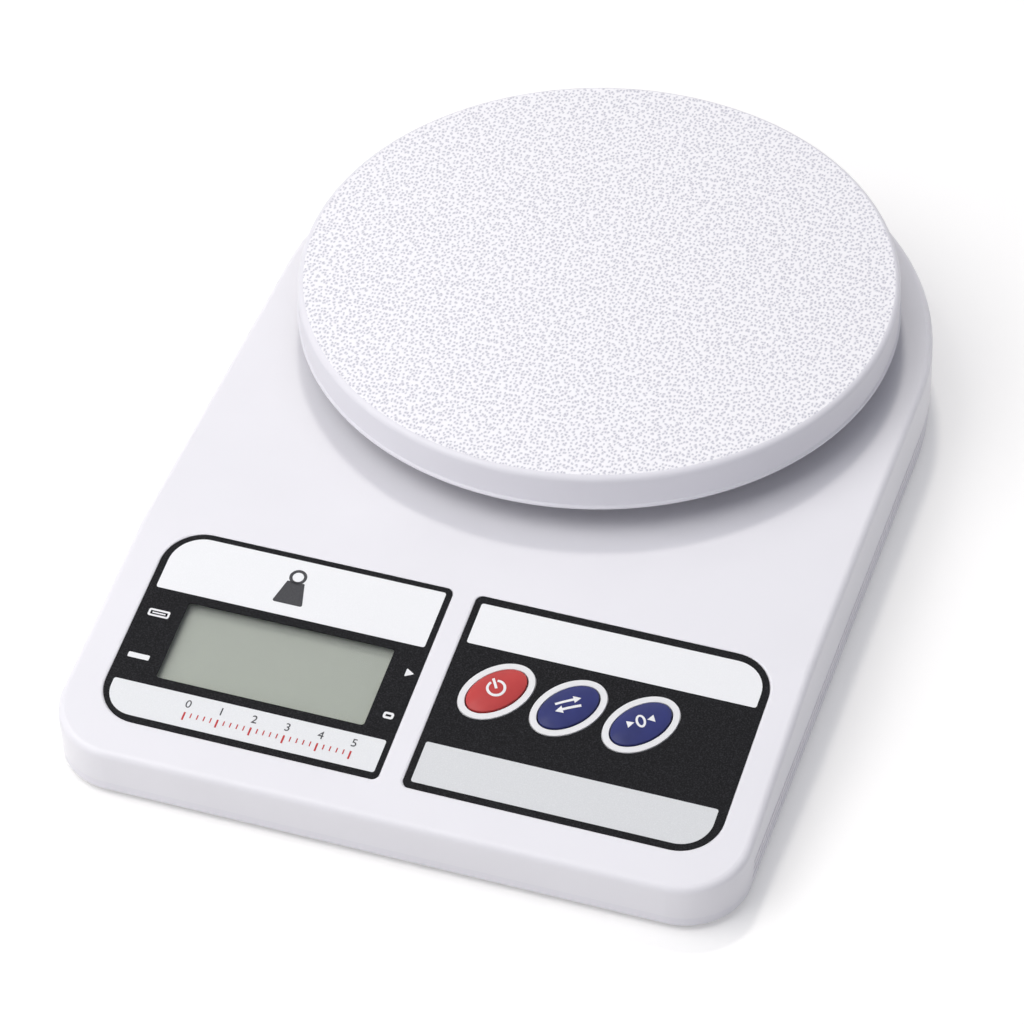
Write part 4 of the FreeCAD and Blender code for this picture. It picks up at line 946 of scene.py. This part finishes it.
def printed(piece, name, finish, slot_name="label_black"):
    """Give a flat shape its thickness and lay it on the panel."""
    thicken(piece)
    place(piece, PANEL)
    return deliver(piece, name, finish, "base", slot_name)


# %% Four bands
# the front bands' greyer finishes are painted shade
# left, right, front and rear, then the large corner with its radius, and the finish
BANDS = {
    "display_band_rear": ((-71.15, -5.28, -16.6, -0.56), (-71.15, -0.56, 8.0), "band_light"),
    "display_band_front": ((-71.15, -5.15, -52.3, -43.3), (-71.15, -52.3, 7.0), "band_pale"),
    "button_band_rear": ((3.53, 72.28, -12.6, -1.15), (72.28, -1.15, 7.4), "band_light"),
    "button_band_front": ((3.55, 72.0, -52.3, -41.1), (72.0, -52.3, 7.4), "band_grey"),
}
for name, (sides, large_corner, finish) in BANDS.items():
    printed(flat_shape(*sides, [large_corner]), name, finish)

# %% [markdown]
# ## Small white marks beside the window
# Two marks on the left and two on the right point at lines of the display. They are
# plain shapes: an outlined bar with a dash, a solid bar, a small pointer and a small
# ring. An outline is a rounded shape whose face is inset, and whose inner face is
# then deleted.

# %% Marks beside the window
def outlined(shape, width):
    """Keep only a border of the flat shape."""
    edit(shape)
    pick_all()
    bpy.ops.mesh.inset(thickness=width * MM)
    bpy.ops.mesh.delete(type="FACE")
    object_mode()
    return shape


outline = outlined(flat_shape(-70.3, -65.1, -24.75, -22.7, small=0.5), 0.5)
dash = flat_shape(-69.3, -66.1, -23.9, -23.55, small=0.1)
printed(joined("outlined_bar", [outline, dash]), "mark_outlined_bar", "print_white")
printed(flat_shape(-70.5, -65.3, -37.0, -35.6, small=0.3), "mark_bar", "print_white")
printed(outlined(flat_shape(-8.3, -5.8, -37.6, -35.8, small=0.6), 0.6), "mark_ring", "print_white")

bpy.ops.mesh.primitive_circle_add(vertices=3, radius=1.35 * MM, fill_type="NGON")
pointer = bpy.context.object
edit(pointer)
pick_all()
bpy.ops.transform.rotate(value=pi / 2, orient_axis="Z", center_override=(0, 0, 0))
shift(-6.5, -24.3, PRINT_LEVEL)
pick("verts", lambda vert: True)
bpy.ops.mesh.bevel(offset=0.3 * MM, segments=4, affect="VERTICES")
object_mode()
printed(pointer, "mark_pointer", "print_white")

# %% [markdown]
# ## Numbers and ticks on the front band
# The left label's front band holds a plain row of numbers over a ruler of red ticks, as
# on the dial of a spring scale, and its rear band a small picture of a weight. Each
# number is a text object, made a mesh before it is moved, so that its mesh alone says
# where it is.

# %% Numbers
NUMBERS = range(6)
NUMBER_PITCH = 8.0
NUMBER_FOOT = -46.9
NUMBER_HEIGHT = 2.1
SIZE_PER_HEIGHT = 1.43
FIRST_NUMBER = -52.0


def number_print(text, x, y, height):
    """A number as a flat mesh, centred on x and standing on y."""
    bpy.ops.object.text_add()
    written = bpy.context.object
    written.data.body = text
    written.data.size = height * SIZE_PER_HEIGHT * MM
    written.data.align_x = "CENTER"
    written.data.resolution_u = 4
    only(written)
    bpy.ops.object.convert(target="MESH")
    shape = bpy.context.object
    place(shape, Matrix.Translation(Vector((x, y, PRINT_LEVEL + PRINT_THICKNESS)) * MM))
    edit(shape)
    pick_all()
    bpy.ops.mesh.remove_doubles(threshold=WELD)
    object_mode()
    return shape


numbers = [
    number_print(str(value), FIRST_NUMBER + NUMBER_PITCH * value, NUMBER_FOOT, NUMBER_HEIGHT)
    for value in NUMBERS
]
printed(joined("numbers", numbers), "dial_numbers", "print_grey")

# %% Ticks
TICKS_PER_NUMBER = 5
TICKS_TOP = -48.2
LONG_TICK = (0.22, 2.2)
SHORT_TICK = (0.14, 1.3)
ticks = []
for step in range((len(NUMBERS) - 1) * TICKS_PER_NUMBER + 1):
    x = FIRST_NUMBER + NUMBER_PITCH * step / TICKS_PER_NUMBER
    half_width, reach = SHORT_TICK if step % TICKS_PER_NUMBER else LONG_TICK
    tick = flat_shape(x - half_width, x + half_width, TICKS_TOP - reach, TICKS_TOP, small=0)
    place(tick, Matrix.Translation((0, 0, PRINT_THICKNESS * MM)))
    ticks.append(tick)
printed(joined("ticks", ticks), "dial_ticks", "print_red")

# %% A picture of a weight
WEIGHT_X = -40.0
WEIGHT_HALF_WIDTH = 3.6
WEIGHT_NARROWING = 0.62
HANDLE_RADIUS = 2.1
HANDLE_STROKE = 0.75

body = flat_shape(
    WEIGHT_X - WEIGHT_HALF_WIDTH, WEIGHT_X + WEIGHT_HALF_WIDTH, -13.3, -6.9, small=0.5
)
edit(body)
pick("verts", lambda vert: vert.co.y > -8.0 * MM)
resize(WEIGHT_NARROWING, 1, centre=(WEIGHT_X, 0, 0))
object_mode()
bpy.ops.mesh.primitive_circle_add(
    vertices=32,
    radius=HANDLE_RADIUS * MM,
    fill_type="NGON",
    location=Vector((WEIGHT_X, -5.4, PRINT_LEVEL)) * MM,
)
handle = outlined(place(bpy.context.object, Matrix.Identity(4)), HANDLE_STROKE)
weight = place(joined("weight", [body, handle]), Matrix.Translation((0, 0, PRINT_THICKNESS * MM)))
printed(weight, "weight_picture", "print_grey")

# %% [markdown]
# ## White signs on the buttons
# Each button has a white sign that bends with its dome. A sign is drawn flat over the
# level button, cut fine enough to bend, dropped onto the dome with a Shrinkwrap that
# projects straight down, and thickened. Only then does it get the button's tilt and
# place. The signs are generic: a broken ring with a bar for power, two arrows for
# changing the unit, and a nought between two arrowheads for setting to zero. They lean
# less than the buttons do.

# %% Flat strokes for the signs
SIGN_LEVEL = BUTTON_TOP + 1.0
STROKE = 0.62
ARROW_GAP = 0.65
ARROW_SIZE = 1.15
DROP_CLEARANCE = 0.01


def bar(x_from, x_to, y_from, y_to):
    """A straight stroke, cut up so that it can bend."""
    shape = flat_shape(x_from, x_to, y_from, y_to, small=0)
    edit(shape)
    pick_all()
    bpy.ops.mesh.subdivide(number_cuts=7)
    object_mode()
    return shape


def arrow_head(x, y, size, turn):
    """A filled triangle that points along turn, in radians from +X."""
    bpy.ops.mesh.primitive_circle_add(vertices=3, radius=size * MM, fill_type="TRIFAN")
    shape = bpy.context.object
    edit(shape)
    pick_all()
    bpy.ops.mesh.subdivide(number_cuts=3)
    object_mode()
    return place(
        shape,
        Matrix.Translation(Vector((x, y, PRINT_LEVEL)) * MM)
        @ Matrix.Rotation(turn - pi / 2, 4, "Z"),
    )


def loop_stroke(half_length, half_width, stroke, gap=0.0):
    """A round or oval stroke; gap is the half width left open at its top."""
    bpy.ops.mesh.primitive_circle_add(vertices=48, radius=MM, fill_type="NOTHING")
    shape = bpy.context.object
    edit(shape, "EDGE")
    pick_all()
    resize(half_length, half_width)
    extrude_edges(0)
    resize((half_length - stroke) / half_length, (half_width - stroke) / half_width)
    if gap:
        pick("faces", lambda face: middle(face).y > 0 and abs(middle(face).x) < gap)
        bpy.ops.mesh.delete(type="FACE")
    pick_all()
    shift(z=PRINT_LEVEL)
    object_mode()
    return shape


print("sign strokes ready")

# %% Bend the signs onto the buttons
SIGN_TURN = radians(31) - BUTTON_TILT


def sign(name, key, strokes):
    """Join flat strokes, bend them onto the dome, thicken them and lay them on the panel."""
    drawing = joined(name, strokes)
    place(drawing, Matrix.Translation((0, 0, (SIGN_LEVEL - PRINT_LEVEL) * MM)))
    place(drawing, Matrix.Rotation(SIGN_TURN, 4, "Z"))
    finish_with(
        drawing,
        "SHRINKWRAP",
        target=button,
        wrap_method="PROJECT",
        use_project_z=True,
        use_negative_direction=True,
        use_positive_direction=False,
        offset=DROP_CLEARANCE * MM,
    )
    edit(drawing)
    pick_all()
    bpy.ops.mesh.normals_make_consistent(inside=False)
    object_mode()
    if sum(face.normal.z for face in drawing.data.polygons) < 0:
        drawing.data.flip_normals()
    thicken(drawing)
    place(drawing, PANEL @ on_button(BUTTONS[key][0]))
    deliver(drawing, name, "print_white", f"{key}_key", "frame_white")


sign(
    "power_sign",
    "power",
    [loop_stroke(2.3, 2.3, STROKE, 0.8), bar(-STROKE / 2, STROKE / 2, -0.2, 2.9)],
)
sign(
    "unit_sign",
    "mode",
    [
        bar(-2.8, 1.6, ARROW_GAP, ARROW_GAP + STROKE),
        arrow_head(2.1, ARROW_GAP + STROKE / 2, ARROW_SIZE, 0),
        bar(-1.6, 2.8, -ARROW_GAP - STROKE, -ARROW_GAP),
        arrow_head(-2.1, -ARROW_GAP - STROKE / 2, ARROW_SIZE, pi),
    ],
)
sign(
    "zero_sign",
    "tare",
    [loop_stroke(1.15, 1.75, 0.55), arrow_head(-2.6, 0, 1.1, 0), arrow_head(2.6, 0, 1.1, pi)],
)
bpy.data.objects.remove(button)

# %% [markdown]
# ## Feet
# The scale stands on four pale rubber discs in shallow pockets. A disc gets a rounded
# lower edge and a ring groove, by insets and a small extrusion, so that it looks
# moulded. Four copies make one piece, because the CAD model has the feet as one node.

# %% Rubber feet
FRONT_FOOT = (62.0, -93.8)
REAR_FOOT = (39.93, 96.5)
FOOT_RADIUS = 7.0
FOOT_EDGE = 0.4
GROOVE_OUTER = 5.4
GROOVE_WIDTH = 0.9
GROOVE_DEPTH = 0.35
feet_low, feet_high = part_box("rubber_feet")
foot_height = feet_high.z - feet_low.z


def in_groove(face):
    """A test for the sole's faces between the groove's two radii."""
    reach = middle(face).xy.length
    inner = GROOVE_OUTER - GROOVE_WIDTH
    return facing_down(face) and inner - NEARLY < reach < GROOVE_OUTER + NEARLY


bpy.ops.mesh.primitive_cylinder_add(
    vertices=64, radius=FOOT_RADIUS * MM, depth=foot_height, location=(0, 0, foot_height / 2)
)
foot = place(bpy.context.object, Matrix.Identity(4))
edit(foot)
pick("faces", facing_down)
bpy.ops.mesh.inset(thickness=(FOOT_RADIUS - GROOVE_OUTER) * MM)
bpy.ops.mesh.inset(thickness=GROOVE_WIDTH * MM)
pick("faces", in_groove)
extrude(z=GROOVE_DEPTH)
rim = FOOT_RADIUS - NEARLY
pick("edges", lambda edge: middle(edge).z < NEARLY and middle(edge).xy.length > rim)
bpy.ops.mesh.bevel(offset=FOOT_EDGE * MM, segments=4, affect="EDGES")
object_mode()
smooth(foot)
feet = [
    copied(foot, f"foot_{x}_{y}", Matrix.Translation(Vector((side * x, y, 0)) * MM))
    for x, y in (FRONT_FOOT, REAR_FOOT)
    for side in (-1, 1)
]
bpy.data.objects.remove(foot)
deliver(joined("feet", feet), "rubber_soles", "foot_rubber", "base", "foot_rubber", "rubber_feet")

# %% [markdown]
# ## Grip on the battery door
# The door's finger notch has three small ridges that the nail catches on. They are
# bars with bevelled edges, copied along the notch, and they ride on the door, so they
# swing out with it.

# %% Door ridges
RIDGES = 3
RIDGE_SIZE = Vector((8.0, 0.55, 0.6))
RIDGE_PITCH = 1.25
RIDGE_INSET = 2.0
RIDGE_EDGE = 0.18
RIDGE_LEVEL = 0.6
door_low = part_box("battery_door")[0]
ridge_pieces = []
for number in range(RIDGES):
    y = door_low.y + (RIDGE_INSET + RIDGE_PITCH * number) * MM
    bpy.ops.mesh.primitive_cube_add(
        size=1, location=(0, y, door_low.z + RIDGE_LEVEL * MM), scale=RIDGE_SIZE * MM
    )
    ridge = place(bpy.context.object, Matrix.Identity(4))
    finish_with(ridge, "BEVEL", width=RIDGE_EDGE * MM, segments=3)
    ridge_pieces.append(ridge)
ridges = joined("ridges", ridge_pieces)
smooth(ridges, 40)
deliver(ridges, "door_ridges", "casing_lower", "battery_door", "casing_lower")

# %% [markdown]
# ## The floor and the lights
# The photograph is a studio shot on white. The floor is a wide plane that takes soft
# shadows. Its own light, which only camera, mirror and see-through rays notice, lifts
# it to white without lighting the scale. A small lamp behind the scale draws the clear
# shadow under the platter. Three soft ones, at the left, high up and low in front, make
# the left side a little lighter than the right, and the world fills in the rest. Only
# the one at the left is seen in the gloss, so that the buttons keep one soft highlight.

# %% Floor and world
def seen_rays(tree):
    """1 for rays that come from the camera, a mirror or a see-through sheet."""
    path = tree.nodes.new("ShaderNodeLightPath")
    total = path.outputs["Is Camera Ray"]
    for name in ("Is Glossy Ray", "Is Transmission Ray"):
        sum_node = tree.nodes.new("ShaderNodeMath")
        sum_node.operation = "MAXIMUM"
        tree.links.new(total, sum_node.inputs[0])
        tree.links.new(path.outputs[name], sum_node.inputs[1])
        total = sum_node.outputs["Value"]
    return total


FLOOR_GLOW = 0.24
FLOOR_SIZE = 8
bpy.ops.mesh.primitive_plane_add(size=FLOOR_SIZE)
floor = bpy.context.object
floor.name = "studio_floor"
floor_finish = new_finish("studio_floor", (0.87, 0.86, 0.84), 0.9, Specular_IOR_Level=0.0)
tree = floor_finish.node_tree
glow = add_node(floor_finish, "ShaderNodeEmission", {"Color": (1, 1, 1, 1)})
glow_level = add_node(
    floor_finish, "ShaderNodeMath", {0: seen_rays(tree), 1: FLOOR_GLOW}, operation="MULTIPLY"
)
tree.links.new(glow_level.outputs["Value"], glow.inputs["Strength"])
both = add_node(
    floor_finish,
    "ShaderNodeAddShader",
    {0: tree.nodes["Principled BSDF"].outputs["BSDF"], 1: glow.outputs["Emission"]},
)
tree.links.new(both.outputs["Shader"], tree.nodes["Material Output"].inputs["Surface"])
floor.data.materials.append(floor_finish)

WORLD_LEVEL = 0.385
world = bpy.data.worlds.new("studio")
bpy.context.scene.world = world
world.use_nodes = True
sky = world.node_tree
fill = sky.nodes["Background"]
fill.inputs["Color"].default_value = (0.92, 0.94, 1.06, 1)
fill.inputs["Strength"].default_value = WORLD_LEVEL
white = sky.nodes.new("ShaderNodeBackground")
white.inputs["Color"].default_value = (1, 1, 1, 1)
mix = sky.nodes.new("ShaderNodeMixShader")
sky.links.new(seen_rays(sky), mix.inputs["Fac"])
sky.links.new(fill.outputs["Background"], mix.inputs[1])
sky.links.new(white.outputs["Background"], mix.inputs[2])
sky.links.new(mix.outputs["Shader"], sky.nodes["World Output"].inputs["Surface"])
print("floor and world ready")

# %% Lamps
LAMPS_AIM = Vector((0, 0, 20)) * MM
SUNNY = (1.0, 0.97, 0.91)
NEUTRAL = (1.0, 0.99, 0.98)
# direction, distance, size and power, then colour and whether gloss shows the lamp
LAMPS = {
    "rear_lamp": ((-0.147, 0.41, 1.0), 1.5, 0.15, 5.1, SUNNY, False),
    "left_softbox": ((-0.6, -0.45, 0.9), 1.0, 0.8, 3.6, NEUTRAL, True),
    "high_softbox": ((-0.35, -0.3, 1.0), 0.75, 0.6, 1.5, NEUTRAL, False),
    "low_softbox": ((-0.45, -1.0, 0.3), 1.3, 0.7, 1.2, NEUTRAL, False),
}


def soft_lamp(name, direction, distance, size, power, color, in_gloss):
    """A square lamp that looks at the scale from a direction; gloss shows it if in_gloss."""
    towards = Vector(direction).normalized()
    bpy.ops.object.light_add(type="AREA", location=LAMPS_AIM + towards * distance)
    lamp = bpy.context.object
    lamp.name = name
    lamp.rotation_euler = towards.to_track_quat("Z", "Y").to_euler()
    lamp.data.shape = "SQUARE"
    lamp.data.size = size
    lamp.data.energy = power
    lamp.data.color = color
    lamp.visible_glossy = in_gloss
    print(name, "at", [round(part, 2) for part in lamp.location])


for name, recipe in LAMPS.items():
    soft_lamp(name, *recipe)
